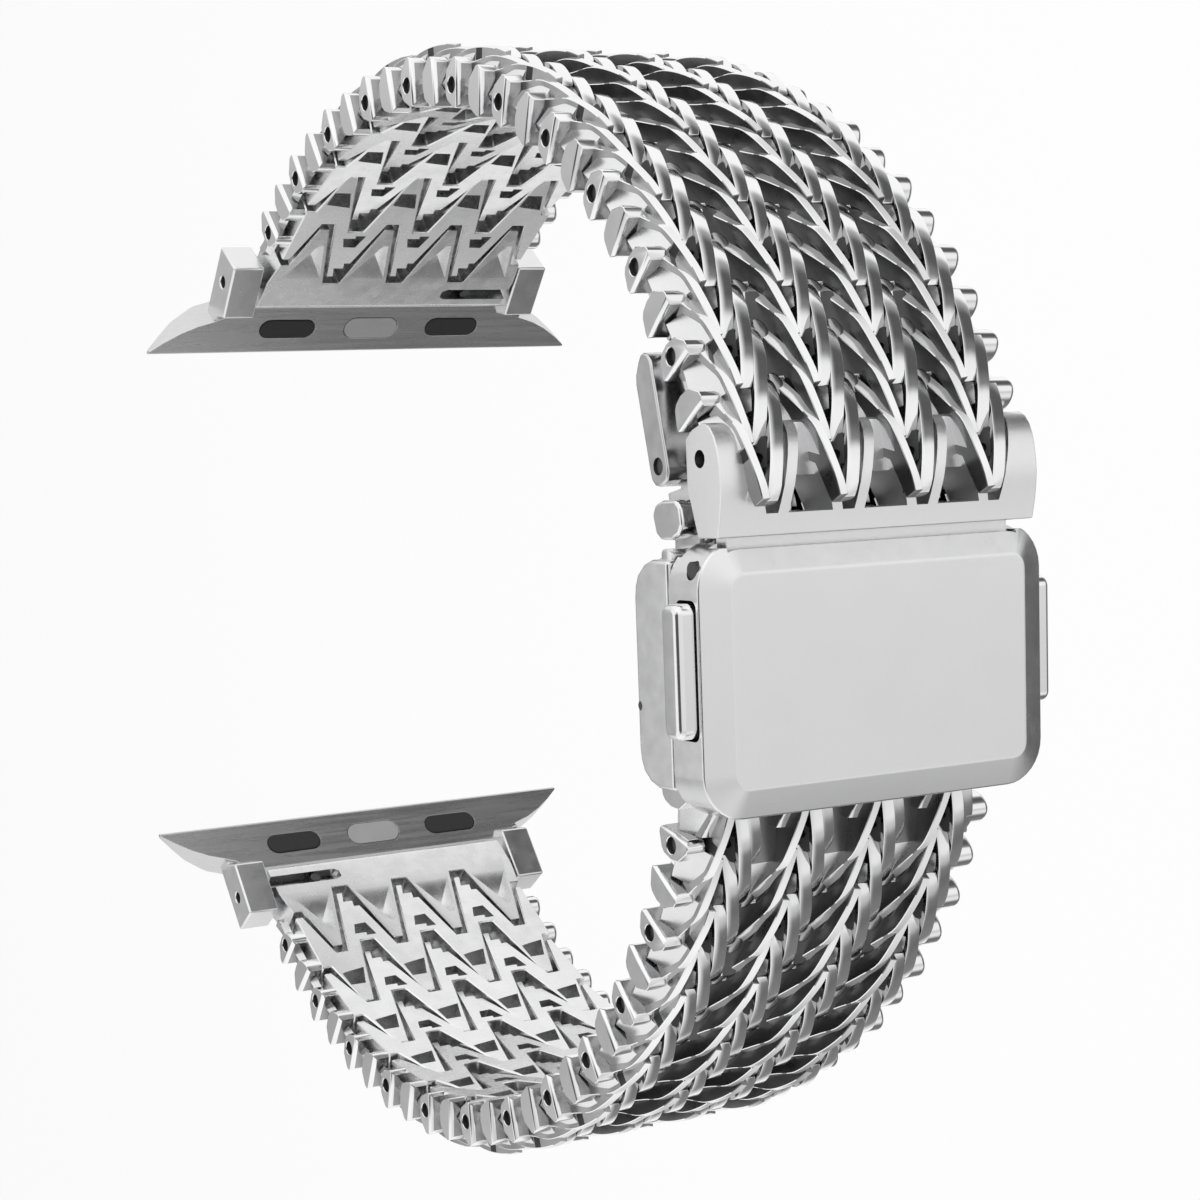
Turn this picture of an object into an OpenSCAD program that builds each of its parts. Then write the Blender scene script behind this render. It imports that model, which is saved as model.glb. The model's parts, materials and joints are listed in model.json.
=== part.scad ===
// Interlocking chevron link watch band with a magnetic clasp and slide in watch adapters.
// Units are millimetres. The band lies on its side edge: every link hinge is parallel to Z.
// X points out of the clasp cover, Y points from the lower half of the band to the upper half.

/* [Band] */
// Width of the band over the side knuckles
band_w = 22; // [20:0.5:24]
// Distance between two link hinges
pitch = 6.15; // [5.9:0.05:6.4]
// Bend between neighbouring links of the upper half as worn
curl_upper = 9.7; // [8:0.1:11]
// Bend between neighbouring links of the lower half as worn
curl_lower = 9.8; // [8:0.1:11]
// Height of the link plate on the wrist side of the hinge
plate_in = 1.3; // [1.1:0.05:1.4]
// Height of the link plate on the outer side of the hinge
plate_out = 0.9; // [0.7:0.05:1.1]
// Height of the chevron blades above the hinge
blade_top = 2.4; // [2:0.1:2.6]
// Thickness of one chevron blade
blade_t = 0.5; // [0.4:0.05:0.55]
// Radius of the hinge pins
pin_r = 0.5; // [0.4:0.05:0.6]

/* [Clasp] */
// How far the clasp stands out past the band on each side
clasp_side = 1; // [0.9:0.05:2]
// Thickness of the clasp cover
cover_t = 3.7; // [3.6:0.1:4.2]
// Height of the clasp cover
cover_h = 15.4; // [15:0.1:16.5]
// Thickness of the clasp base
base_t = 3.7; // [3.6:0.1:4]
// Length of a release button
button_l = 7.5; // [6:0.5:8]
// How far a button stands out of the clasp side
button_out = 1.15; // [0.9:0.05:1.5]

/* [Adapter] */
// Length of the watch adapter from tip to tip
adapter_l = 35; // [33:0.5:38]
// Thickness of the watch adapter
adapter_t = 2.4; // [2.2:0.1:2.8]
// Width over the two ears that hold the spring bar
ears_w = 25.8; // [25:0.1:27]
// Length of a rubber pad
pad_l = 4.5; // [3:0.1:5]

/* [Hidden] */
$fn = 48;
run_gap = 0.03;
side_gap = 0.3;
eps = 0.02;
half_w = band_w / 2;
clasp_w = band_w + 2 * clasp_side;
pin_bore = pin_r + run_gap;

// Chevron layout across the band, measured from the near edge
cols = 4;
col_w = (band_w - 1.4) / cols;
col_0 = 3.4;
slant_l = 0.27;
slant_r = 0.24;
tip_half = 0.4;
tip_over = 1.9;
tip_gap = 0.8;
prong_back = 3.5;
notch_back = prong_back + tip_gap;
edge_back = 2;
knuckle_back = 1.45;
edge_near = 1.2;
edge_far = 1.1;
half_pitch = pitch / 2;
blade_len = 6.4;
blade_low = 0.5;
blade_inset = 0.04;
knuckle_u = 1.25;
knuckle_in = 1.4;
knuckle_out = 1.6;
near_len = 1.7;
far_len = 1.55;

// Clasp positions
band_x = 22;
part_x = 23.6;
base_x = part_x - 0.1 - base_t;
cover_x = part_x + cover_t;
cover_y0 = 6.1;
cover_y1 = cover_y0 + cover_h;
hinge_x = 25.75;
hinge_y = 20;
fork_len = 6;
fork_dir = -89;
fork_barrel = 0.95;
hinge_pin_r = 0.5;
fork_half = half_w - 1.2;
barrel_gap = 0.08;
n_upper = 11;
n_lower = 14;
lock_y = 10.3;
dir_upper_last = -64.7;
dir_lower_last = 63.6;
dir_lower_12 = 84;
tail_dir = 102;
tail_plate_dir = 104;

// Adapter positions, measured from the spring bar axis towards the watch
bar_r = 0.75;
bar_bore = bar_r + 0.05;
bar_tip_r = 0.42;
end_len = 5.4;
end_notch = 4.05;
adapter_back = 6.3;
adapter_front = 2.2;
adapter_low = -0.15;
adapter_high = adapter_low + adapter_t;
rim_t = 1.1;
rim_high = adapter_low + rim_t;
upper_adapter_dir = 52;
lower_adapter_dir = -54;
end_dir_upper = 36;
end_dir_lower = -38;

// Hinge positions along both halves, from the clasp outwards
function step(p, a, l) = [p[0] - l * cos(a), p[1] - l * sin(a)];
function dir_u(i) = dir_upper_last + (n_upper - i) * curl_upper;
function dir_l(i) = i >= 13 ? 90 : (i == 12 ? dir_lower_12 : dir_lower_last - (11 - i) * curl_lower);
function fork_pin() = step([hinge_x, hinge_y], fork_dir, fork_len);
function pos_u(i) = i > n_upper ? fork_pin() : step(pos_u(i + 1), dir_u(i), pitch);
function pos_l(i) = i >= 13 ? [band_x, lock_y + (i - 13) * pitch] : step(pos_l(i + 1), dir_l(i), pitch);
function end_u() = step(pos_u(1), end_dir_upper, end_len);
function end_l() = step(pos_l(1), end_dir_lower, end_len);
function tail_pos() = step(pos_l(15), tail_dir, -half_pitch);

// Middle of the whole object, so that the origin sits there
function wx(p, a, u, w) = p[0] + u * cos(a) - w * sin(a);
function top_edge(p, a, u, w) = p[1] + u * sin(a) + w * cos(a);
function low_edge(p, a, u, w) = p[1] + u * sin(a) - w * cos(a);
blade_marks = [
    for (a = [half_pitch + tip_over, pitch + tip_over])
        for (s = [slant_l, slant_r])
            for (q = [0.25, 0.5])
                a - q * blade_len * cos(atan(s))
];
y_high = max([for (i = [1 : n_upper]) for (u = blade_marks) top_edge(pos_u(i), dir_u(i), u, blade_top)]);
y_low = min([for (i = [1 : n_lower]) for (u = blade_marks) low_edge(pos_l(i), dir_l(i), u, blade_top)]);
back_marks = [
    [-adapter_back, adapter_low + 0.2],
    [-adapter_back, rim_high],
    [-adapter_back + 0.9, adapter_high]
];
x_up = min([for (m = back_marks) wx(end_u(), upper_adapter_dir, m[0], m[1])]);
x_low = min([for (m = back_marks) wx(end_l(), -lower_adapter_dir, m[0], m[1])]);
mid_x = (min(x_up, x_low) + cover_x) / 2;
mid_y = (y_high + y_low) / 2;
module centred() {
    translate([-mid_x, -mid_y, 0]) children();
}

// Sides of a tooth whose tip is at a, in column k, at place u along the link
function vc(k) = col_0 + k * col_w;
function lft(u, a, k) = vc(k) - tip_half - (a - u) * slant_l;
function rgt(u, a, k) = vc(k) + tip_half + (a - u) * slant_r;
function zz(v) = half_w - v;
function back_u(k) = (k < 0 || k >= cols) ? -knuckle_back : -prong_back;

// Outline of the prongs that take the teeth of the previous link
function rear_pts() = [
    for (k = [0 : cols - 1])
        for (q = [0 : 3])
            let (ul = k == 0 ? -knuckle_back : -prong_back)
            let (ur = k == cols - 1 ? -knuckle_back : -prong_back)
            let (ub = tip_over + tip_gap)
            q == 0 ? [ul, zz(lft(ul, tip_over, k) - side_gap)] :
            q == 1 ? [ub, zz(lft(ub, tip_over, k) - side_gap)] :
            q == 2 ? [ub, zz(rgt(ub, tip_over, k) + side_gap)] :
            [ur, zz(rgt(ur, tip_over, k) + side_gap)]
];

// Outline of the teeth of a link whose next hinge is at e, with notches of depth d
function front_pts(e, d) = [
    for (m = [0 : cols - 1])
        for (q = [0 : 3])
            let (k = cols - 1 - m)
            let (a = e + tip_over)
            let (ur = k == cols - 1 ? e - edge_back : e - d)
            let (ul = k == 0 ? e - edge_back : e - d)
            q == 0 ? [ur, zz(rgt(ur, a, k))] :
            q == 1 ? [a, zz(rgt(a, a, k))] :
            q == 2 ? [a, zz(lft(a, a, k))] :
            [ul, zz(lft(ul, a, k))]
];

module plan(low, high, pts) {
    translate([0, high, 0])
    rotate([90, 0, 0])
    linear_extrude(high - low)
    polygon(pts);
}

module pin(r, from, to) {
    translate([0, 0, from])
    cylinder(h = to - from, r = r);
}

// End shape of a side knuckle
module knuckle(u, from, to) {
    translate([u, 0, from])
    linear_extrude(to - from)
    polygon([
        [-knuckle_u, -knuckle_in / 2],
        [-knuckle_u / 2, -knuckle_in],
        [knuckle_u / 2, -knuckle_in],
        [knuckle_u, -knuckle_in / 2],
        [knuckle_u, knuckle_out - knuckle_u / 2],
        [knuckle_u / 2, knuckle_out],
        [-knuckle_u / 2, knuckle_out],
        [-knuckle_u, knuckle_out - knuckle_u / 2]
    ]);
}

module knuckles(u) {
    knuckle(u, half_w - near_len, half_w);
    knuckle(u, -half_w, -half_w + far_len);
}

// One blade seen from the side, with its tip at zero
module blade_shape(len, top) {
    polygon([
        [-len, blade_low],
        [0, blade_low],
        [0, top - 0.7],
        [-0.35, top - 0.25],
        [-len * 0.25, top],
        [-len * 0.5, top],
        [-len * 0.8, top - 0.55],
        [-len, plate_out + 0.1]
    ]);
}

// A pair of blades that meet at the tip of a tooth
module chevron(a, k, len, top) {
    translate([a - blade_inset, 0, zz(lft(a, a, k)) - blade_inset])
    rotate([0, atan(slant_l), 0])
    translate([0, 0, -blade_t])
    linear_extrude(blade_t)
    blade_shape(len, top);
    translate([a - blade_inset, 0, zz(rgt(a, a, k)) + blade_inset])
    rotate([0, -atan(slant_r), 0])
    linear_extrude(blade_t)
    blade_shape(len, top);
}

module chevron_row(a, len, top) {
    for (k = [0 : cols - 1]) chevron(a, k, len, top);
}

// One band link and its pressed in hinge pin
module link_plate(e) {
    plan(-plate_in, plate_out, concat(
        [[-knuckle_back, zz(edge_near)]],
        rear_pts(),
        [[-knuckle_back, -half_w + edge_far], [e - edge_back, -half_w + edge_far]],
        front_pts(e, notch_back),
        [[e - edge_back, zz(edge_near)]]
    ));
}

module link_body(c) {
    color(c)
    difference() {
        union() {
            link_plate(pitch);
            knuckles(0);
            knuckles(half_pitch);
            chevron_row(half_pitch + tip_over, blade_len, blade_top);
            chevron_row(pitch + tip_over, blade_len, blade_top);
        }
        pin(pin_bore, -half_w - eps, half_w + eps);
        translate([pitch, 0, 0]) pin(pin_bore, -half_w - eps, half_w + eps);
    }
    color("Gray") pin(pin_r, -half_w + 0.1, half_w - 0.1);
}

module place(p, a) {
    translate([p[0] - mid_x, p[1] - mid_y, 0])
    rotate([0, 0, a])
    children();
}

module place_low(p, a) {
    centred()
    mirror([0, 1, 0])
    translate([p[0], -p[1], 0])
    rotate([0, 0, -a])
    children();
}

module upper_link(i) {
    place(pos_u(i), dir_u(i)) link_body("Silver");
}

module lower_link(i) {
    place_low(pos_l(i), dir_l(i)) link_body("Silver");
}

// End link with the cross bar that holds the spring bar
bar_back = 1.6;
slot_from = -10.3;
slot_to = -4.4;
slot_half = 0.55;
module end_link_body(s) {
    color("Silver")
    difference() {
        union() {
            plan(-plate_in, plate_in, concat(
                [[-bar_back, ears_in - side_gap], [-bar_back, -ears_in + side_gap]],
                [[end_len - end_notch, -ears_in + side_gap]],
                [[end_len - edge_back, -half_w + edge_far]],
                front_pts(end_len, end_notch),
                [[end_len - edge_back, zz(edge_near)], [end_len - end_notch, ears_in - side_gap]]
            ));
            chevron_row(end_len + tip_over - half_pitch, blade_len - 1, blade_top);
            chevron_row(end_len + tip_over, blade_len, blade_top);
        }
        pin(bar_bore, -ears_in, ears_in);
        translate([end_len, 0, 0]) pin(pin_bore, -half_w - eps, half_w + eps);
        if (s > 0) release_slot();
        else mirror([0, 0, 1]) release_slot();
    }
}

// Slot in the wrist side of the bar, open at its end, in which the release knob slides
module release_slot() {
    translate([-slot_half, -plate_in - eps, slot_from])
    cube([2 * slot_half, plate_in, slot_to - slot_half - slot_from]);
    translate([0, -eps, slot_to - slot_half])
    rotate([90, 0, 0])
    cylinder(h = plate_in, r = slot_half);
}
ears_in = ears_w / 2 - 2.4;

tube_end = -4.9;
tip_out = ears_w / 2 - 0.9;
module spring_bar_body() {
    color("Gray")
    difference() {
        union() {
            pin(bar_r, tube_end, ears_in - side_gap);
            pin(bar_tip_r, 0, tip_out);
        }
        pin(bar_tip_r + run_gap, tube_end - eps, tube_end + 3);
    }
}

knob_z = -6.6;
knob_r = 0.4;
module release_knob_body() {
    color("LightGray")
    union() {
        pin(bar_tip_r, -tip_out, tube_end + 1.2);
        translate([0, 0, knob_z])
        rotate([90, 0, 0])
        cylinder(h = plate_in - 0.1, r = knob_r);
    }
}

// Watch adapter: a lens shaped bar with two ears
pill_u = -4.1;
pad_z = 6.8;
pad_w = 1.9;
pad_deep = 0.6;
ear_front = 2.1;
ear_low = -1.4;
ear_high = 1.4;
module pill(l, w, from, to) {
    translate([pill_u, to, 0])
    rotate([90, 0, 0])
    union() {
        translate([-w / 2, -(l - w) / 2, 0]) cube([w, l - w, to - from]);
        translate([0, (l - w) / 2, 0]) cylinder(h = to - from, r = w / 2);
        translate([0, -(l - w) / 2, 0]) cylinder(h = to - from, r = w / 2);
    }
}

module adapter_body() {
    tip = adapter_l / 2;
    shoulder = ears_w / 2 - 0.2;
    color("Silver")
    difference() {
        union() {
            intersection() {
                plan(adapter_low, adapter_high, [
                    [-adapter_back, tip],
                    [-adapter_back, -tip],
                    [-adapter_back + 0.35, -tip],
                    [-4.6, -tip + 1.9],
                    [-3.4, -shoulder],
                    [-adapter_front, -shoulder + 1.8],
                    [-adapter_front, shoulder - 1.8],
                    [-3.4, shoulder],
                    [-4.6, tip - 1.9],
                    [-adapter_back + 0.35, tip]
                ]);
                linear_extrude(2 * tip + 1, center = true)
                polygon([
                    [-adapter_back, adapter_low + 0.2],
                    [-adapter_back + 0.2, adapter_low],
                    [-adapter_front - 0.3, adapter_low],
                    [-adapter_front, adapter_low + 0.3],
                    [-adapter_front, adapter_high - 0.3],
                    [-adapter_front - 0.3, adapter_high],
                    [-adapter_back + 0.9, adapter_high],
                    [-adapter_back, rim_high]
                ]);
            }
            ear(ears_in);
            ear(-ears_w / 2);
        }
        pin(bar_tip_r + 0.05, -ears_w / 2 - eps, ears_w / 2 + eps);
        pad_places() pill(pad_l, pad_w, adapter_low - eps, adapter_low + pad_deep);
        pill(pad_l, pad_w, adapter_low - eps, adapter_low + 1.7);
    }
}

module ear(z0) {
    translate([0, 0, z0])
    linear_extrude(ears_w / 2 - ears_in)
    polygon([
        [-2.2, ear_low],
        [ear_front - 0.3, ear_low],
        [ear_front, ear_low + 0.3],
        [ear_front, ear_high - 0.3],
        [ear_front - 0.3, ear_high],
        [-3.9, ear_high],
        [-3.9, adapter_low + 0.3],
        [-2.9, adapter_low + 0.05]
    ]);
}

module pad_places() {
    for (s = [-1, 1]) translate([0, 0, s * pad_z]) children();
}

module pads_body() {
    color("Black")
    pad_places()
    pill(pad_l - 0.06, pad_w - 0.06, adapter_low - 0.1, adapter_low + pad_deep - eps);
}

module latch_body() {
    color("DimGray")
    pill(pad_l - 0.1, pad_w - 0.1, adapter_low - 0.1, adapter_low + 1);
}

// Fork: curved plate that carries the last hinge of the upper half and hangs on the clasp cover
fork_low = -0.9;
fork_high = 1.9;
fork_rear = 1.3;
slot_end = 3.1;
function fork_pts() = [
    for (k = [0 : cols - 1])
        for (q = [0 : 3])
            let (ul = k == 0 ? -fork_rear - 0.3 : -fork_rear)
            let (ur = k == cols - 1 ? -fork_rear - 0.3 : -fork_rear)
            q == 0 ? [ul, zz(lft(ul, tip_over, k) - side_gap)] :
            q == 1 ? [slot_end, zz(lft(slot_end, tip_over, k) - side_gap)] :
            q == 2 ? [slot_end, zz(rgt(slot_end, tip_over, k) + side_gap)] :
            [ur, zz(rgt(ur, tip_over, k) + side_gap)]
];
seam_u = 4.3;
module fork_side_cut() {
    linear_extrude(band_w + 2, center = true)
    polygon([
        [-1.1, -1.4],
        [-1.9, 0.35],
        [-1.9, 0.6],
        [-1.3, 1.4],
        [0, 1.8],
        [1.6, 2],
        [seam_u, 1.5],
        [seam_u, -0.5],
        [1.6, -1.4]
    ]);
}
module fork() {
    place(pos_u(12), fork_dir) {
        color("Silver")
        difference() {
            union() {
                intersection() {
                    plan(-1.4, 2.1, concat(
                        [[-fork_rear - 0.3, half_w]],
                        fork_pts(),
                        [[-fork_rear - 0.3, -half_w], [seam_u, -half_w], [seam_u, half_w]]
                    ));
                    fork_side_cut();
                }
                translate([seam_u - eps, -0.5, -fork_half])
                cube([fork_len - seam_u + eps, 1, 2 * fork_half]);
                translate([fork_len, 0, 0]) pin(fork_barrel, -fork_half, fork_half);
            }
            for (k = [0 : cols - 2]) fork_window(k);
            pin(pin_bore, -half_w - eps, half_w + eps);
            translate([fork_len, 0, 0]) pin(hinge_pin_r + run_gap, -half_w - eps, half_w + eps);
        }
        color("Gray") pin(pin_r, -half_w + 0.1, half_w - 0.1);
    }
}

// Open space inside one pair of fork prongs
strip = 0.9;
module fork_window(k) {
    w0 = 1.1;
    w1 = slot_end;
    plan(-2, 3, [
        [w0, zz(rgt(w0, tip_over, k) + side_gap + strip)],
        [w1, zz(rgt(w1, tip_over, k) + side_gap + strip)],
        [w1, zz(lft(w1, tip_over, k + 1) - side_gap - strip)],
        [w0, zz(lft(w0, tip_over, k + 1) - side_gap - strip)]
    ]);
}

// Clasp cover with its channel, button pockets and magnet pocket
face_in = 0.7;
face_side = 1.75;
cover_half = clasp_w / 2;
channel_x = 24.9;
channel_half = half_w - 1;
knuckle_x = part_x + 0.4;
tray_half = half_w + 0.3;
button_x0 = part_x + 0.8;
button_x1 = button_x0 + 1.8;
button_y0 = (cover_y0 + cover_y1) / 2 + 0.7 - button_l / 2;
button_in = cover_half - 0.6;
press = 0.7;
pocket_in = button_in - press - 0.1;
spring_r = 0.5;
spring_x = (button_x0 + button_x1) / 2 + 0.1;
spring_y = button_y0 + button_l / 2;
spring_end = 7.2;
corner_r = 2;
module rounded_slab(x0, x1, y0, y1, hz, r) {
    translate([x0, 0, 0])
    rotate([90, 0, 90])
    union() {
        translate([y0 + r, -hz, 0]) cube([y1 - y0 - 2 * r, 2 * hz, x1 - x0]);
        translate([y0, -hz + r, 0]) cube([y1 - y0, 2 * hz - 2 * r, x1 - x0]);
        for (y = [y0 + r, y1 - r])
            for (z = [-hz + r, hz - r])
                translate([y, z, 0]) cylinder(h = x1 - x0, r = r);
    }
}

module cover() {
    centred()
    color("Silver")
    difference() {
        intersection() {
            rounded_slab(part_x, cover_x, cover_y0, cover_y1, cover_half, corner_r);
            linear_extrude(clasp_w + 2, center = true)
            polygon([
                [part_x, cover_y0 + 1.2],
                [cover_x - face_in - 1, cover_y0],
                [cover_x - face_in, cover_y0],
                [cover_x, cover_y0 + face_side],
                [cover_x, cover_y1 - face_side],
                [cover_x - 0.35, cover_y1],
                [part_x, cover_y1]
            ]);
            translate([0, cover_y1 + 1, 0])
            rotate([90, 0, 0])
            linear_extrude(cover_h + 2)
            polygon([
                [part_x, -cover_half],
                [cover_x - face_in, -cover_half],
                [cover_x, -cover_half + face_side],
                [cover_x, cover_half - face_side],
                [cover_x - face_in, cover_half],
                [part_x, cover_half]
            ]);
        }
        translate([part_x - eps, cover_y0 - 1, -channel_half])
        cube([channel_x - part_x + eps, cover_h + 2, 2 * channel_half]);
        translate([part_x - eps, cover_y0 - 1, -tray_half])
        cube([knuckle_x - part_x + eps, cover_h + 2, 2 * tray_half]);
        translate([part_x - eps, hinge_y - fork_barrel - side_gap, -fork_half - side_gap])
        cube([hinge_x + fork_barrel + barrel_gap - part_x + eps, 4, 2 * (fork_half + side_gap)]);
        translate([hinge_x, cover_y1 - 0.35, -half_w - 0.1])
        cube([4, 2, band_w + 0.2]);
        translate([hinge_x, hinge_y, 0]) pin(hinge_pin_r + run_gap, -cover_half - eps, cover_half + eps);
        for (s = [-1, 1]) button_pocket(s);
        magnet_block(0.05);
    }
}

module button_pocket(s) {
    z0 = s > 0 ? pocket_in : -cover_half - eps;
    translate([button_x0 - 0.1, button_y0 - 0.1, z0])
    cube([button_x1 - button_x0 + 0.2, button_l + 0.2, cover_half + eps - pocket_in]);
    z1 = s > 0 ? spring_end - press - 0.1 : -pocket_in - eps;
    translate([spring_x, spring_y, z1])
    cylinder(h = pocket_in - spring_end + press + 0.1 + eps, r = spring_r + 0.1);
}

magnet_z = 5.6;
magnet_t = 1;
module magnet_block(g) {
    translate([channel_x - g * 2, 9.4 - g, -magnet_z - g])
    cube([magnet_t + g * 3, 8 + 2 * g, 2 * magnet_z + 2 * g]);
}

module cover_magnet() {
    centred()
    color("DimGray") magnet_block(0);
}

module cover_hinge_pin() {
    centred()
    color("Gray")
    translate([hinge_x, hinge_y, 0])
    pin(hinge_pin_r, -cover_half + 0.2, cover_half - 0.2);
}

button_r = 0.6;
module button(s) {
    z0 = s > 0 ? button_in : -cover_half - button_out;
    centred()
    color("Silver")
    union() {
        translate([button_x0, button_y0 + button_r, z0])
        cube([button_x1 - button_x0, button_l - 2 * button_r, cover_half + button_out - button_in]);
        translate([button_x0 + button_r, button_y0, z0])
        cube([button_x1 - button_x0 - 2 * button_r, button_l, cover_half + button_out - button_in]);
        for (x = [button_x0 + button_r, button_x1 - button_r])
            for (y = [button_y0 + button_r, button_y0 + button_l - button_r])
                translate([x, y, z0]) cylinder(h = cover_half + button_out - button_in, r = button_r);
    }
}

module button_spring(s) {
    centred()
    color("Gray")
    translate([spring_x, spring_y, s > 0 ? spring_end : -button_in + eps])
    difference() {
        cylinder(h = button_in - spring_end - eps, r = spring_r);
        translate([0, 0, -eps]) cylinder(h = button_in - spring_end + 1, r = spring_r - 0.15);
    }
}

// Clasp base: a tray around the lower half with a hinged length lock
base_y0 = 7.6;
base_y1 = 20.5;
base_wall = 0.5;
back_x = base_x + base_wall;
lock_pin_x = 20.55;
lock_pin_y = 12.2;
lock_pin_r = 0.25;
flap_y0 = 12.2;
flap_y1 = 17.4;
flap_half = 8;
module base() {
    centred()
    color("Silver")
    difference() {
        linear_extrude(clasp_w - 0.1, center = true)
        polygon([
            [part_x - 0.1, base_y0],
            [part_x - 0.1, base_y1],
            [base_x + 1.6, base_y1],
            [base_x + 0.5, base_y1 - 0.6],
            [base_x, base_y1 - 1.8],
            [base_x, base_y0 + 1.8],
            [base_x + 0.5, base_y0 + 0.6],
            [base_x + 1.6, base_y0]
        ]);
        translate([back_x, base_y0 - 1, -tray_half])
        cube([4, base_y1 - base_y0 + 2, 2 * tray_half]);
        translate([base_x - 1, base_y0 - 1, -tray_half])
        cube([3, 4.2, 2 * tray_half]);
        translate([base_x - 1, base_y1 - 1.5, -tray_half])
        cube([3, 3, 2 * tray_half]);
        translate([base_x - 1, flap_y0 - 0.75, -flap_half - 0.15])
        cube([3, flap_y1 - flap_y0 + 0.95, 2 * flap_half + 0.3]);
        translate([base_x + 0.25, flap_y0, 0])
        pin(lock_pin_r + run_gap, -cover_half - eps, cover_half + eps);
    }
}

module lock_flap() {
    centred()
    color("Silver")
    difference() {
        union() {
            translate([base_x, flap_y0, -flap_half]) cube([base_wall, flap_y1 - flap_y0, 2 * flap_half]);
            translate([base_x + 0.25, flap_y0, 0]) pin(0.5, -flap_half, flap_half);
        }
        translate([base_x + 0.25, flap_y0, 0]) pin(lock_pin_r + run_gap, -flap_half - eps, flap_half + eps);
    }
}

module lock_pin() {
    centred()
    color("Gray")
    translate([base_x + 0.25, flap_y0, 0])
    pin(lock_pin_r, -cover_half + 0.1, cover_half - 0.1);
}

// Tail: half length last link and plain end plate behind the upper half
tail_half = half_w - 2.1;
tail_ear = 1.1;
tail_round = 0.8;
tail_swing = 1.7;
module tail_link() {
    neck = half_pitch - tail_ear - side_gap + 0.1;
    place_low(pos_l(15), tail_dir) {
        color("Silver")
        difference() {
            union() {
                plan(-plate_in, plate_out, concat(
                    [[-knuckle_back, zz(edge_near)]],
                    rear_pts(),
                    [[-knuckle_back, -half_w + edge_far], [neck, -half_w + edge_far]],
                    [[neck, -tail_half], [half_pitch + tail_round, -tail_half]],
                    [[half_pitch + tail_round, tail_half], [neck, tail_half]],
                    [[neck, zz(edge_near)]]
                ));
                knuckles(0);
            }
            pin(pin_bore, -half_w - eps, half_w + eps);
            translate([half_pitch, 0, 0]) pin(pin_bore, -half_w - eps, half_w + eps);
        }
        color("Gray") pin(pin_r, -half_w + 0.1, half_w - 0.1);
    }
}

tail_len = 6.4;
tail_t = 0.95;
module tail_plate() {
    place_low(tail_pos(), tail_plate_dir) {
        color("Silver")
        difference() {
            linear_extrude(2 * half_w, center = true)
            polygon([
                [-tail_ear, -tail_t * 0.5],
                [-0.7, -tail_t],
                [tail_len - 0.8, -tail_t],
                [tail_len, -tail_t * 0.3],
                [tail_len, tail_t * 0.3],
                [tail_len - 0.8, tail_t],
                [-0.7, tail_t],
                [-tail_ear, tail_t * 0.5]
            ]);
            translate([-2 * tail_ear, -2 * tail_t, -tail_half - side_gap])
            cube([2 * tail_ear + tail_swing, 4 * tail_t, 2 * (tail_half + side_gap)]);
            pin(pin_bore, -half_w - eps, half_w + eps);
        }
        color("Gray") pin(pin_r, -half_w + 0.1, half_w - 0.1);
    }
}

module turned() {
    mirror([0, 0, 1]) children();
}

module upper_end_link() {
    place(end_u(), end_dir_upper) end_link_body(1);
}

module upper_spring_bar() {
    place(end_u(), end_dir_upper) spring_bar_body();
}

module upper_release_knob() {
    place(end_u(), end_dir_upper) release_knob_body();
}

module upper_adapter() {
    place(end_u(), upper_adapter_dir) adapter_body();
}

module upper_adapter_pads() {
    place(end_u(), upper_adapter_dir) pads_body();
}

module upper_adapter_latch() {
    place(end_u(), upper_adapter_dir) latch_body();
}

module lower_end_link() {
    place_low(end_l(), end_dir_lower) end_link_body(-1);
}

module lower_spring_bar() {
    place_low(end_l(), end_dir_lower) turned() spring_bar_body();
}

module lower_release_knob() {
    place_low(end_l(), end_dir_lower) turned() release_knob_body();
}

module lower_adapter() {
    place_low(end_l(), lower_adapter_dir) adapter_body();
}

module lower_adapter_pads() {
    place_low(end_l(), lower_adapter_dir) pads_body();
}

module lower_adapter_latch() {
    place_low(end_l(), lower_adapter_dir) latch_body();
}

cover();
cover_magnet();
cover_hinge_pin();
button(1);  // button_near
button(-1);  // button_far
button_spring(1);  // button_spring_near
button_spring(-1);  // button_spring_far
base();
lock_flap();
lock_pin();
fork();
upper_link(1);  // upper_link_01
upper_link(2);  // upper_link_02
upper_link(3);  // upper_link_03
upper_link(4);  // upper_link_04
upper_link(5);  // upper_link_05
upper_link(6);  // upper_link_06
upper_link(7);  // upper_link_07
upper_link(8);  // upper_link_08
upper_link(9);  // upper_link_09
upper_link(10);  // upper_link_10
upper_link(11);  // upper_link_11
upper_end_link();
upper_spring_bar();
upper_release_knob();
upper_adapter();
upper_adapter_pads();
upper_adapter_latch();
lower_link(1);  // lower_link_01
lower_link(2);  // lower_link_02
lower_link(3);  // lower_link_03
lower_link(4);  // lower_link_04
lower_link(5);  // lower_link_05
lower_link(6);  // lower_link_06
lower_link(7);  // lower_link_07
lower_link(8);  // lower_link_08
lower_link(9);  // lower_link_09
lower_link(10);  // lower_link_10
lower_link(11);  // lower_link_11
lower_link(12);  // lower_link_12
lower_link(13);  // lower_link_13
lower_link(14);  // lower_link_14
tail_link();
tail_plate();
lower_end_link();
lower_spring_bar();
lower_release_knob();
lower_adapter();
lower_adapter_pads();
lower_adapter_latch();
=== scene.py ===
import json
import math

import bmesh
import bpy
from bpy.props import FloatProperty, FloatVectorProperty, PointerProperty
from mathutils import Matrix, Vector


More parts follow.
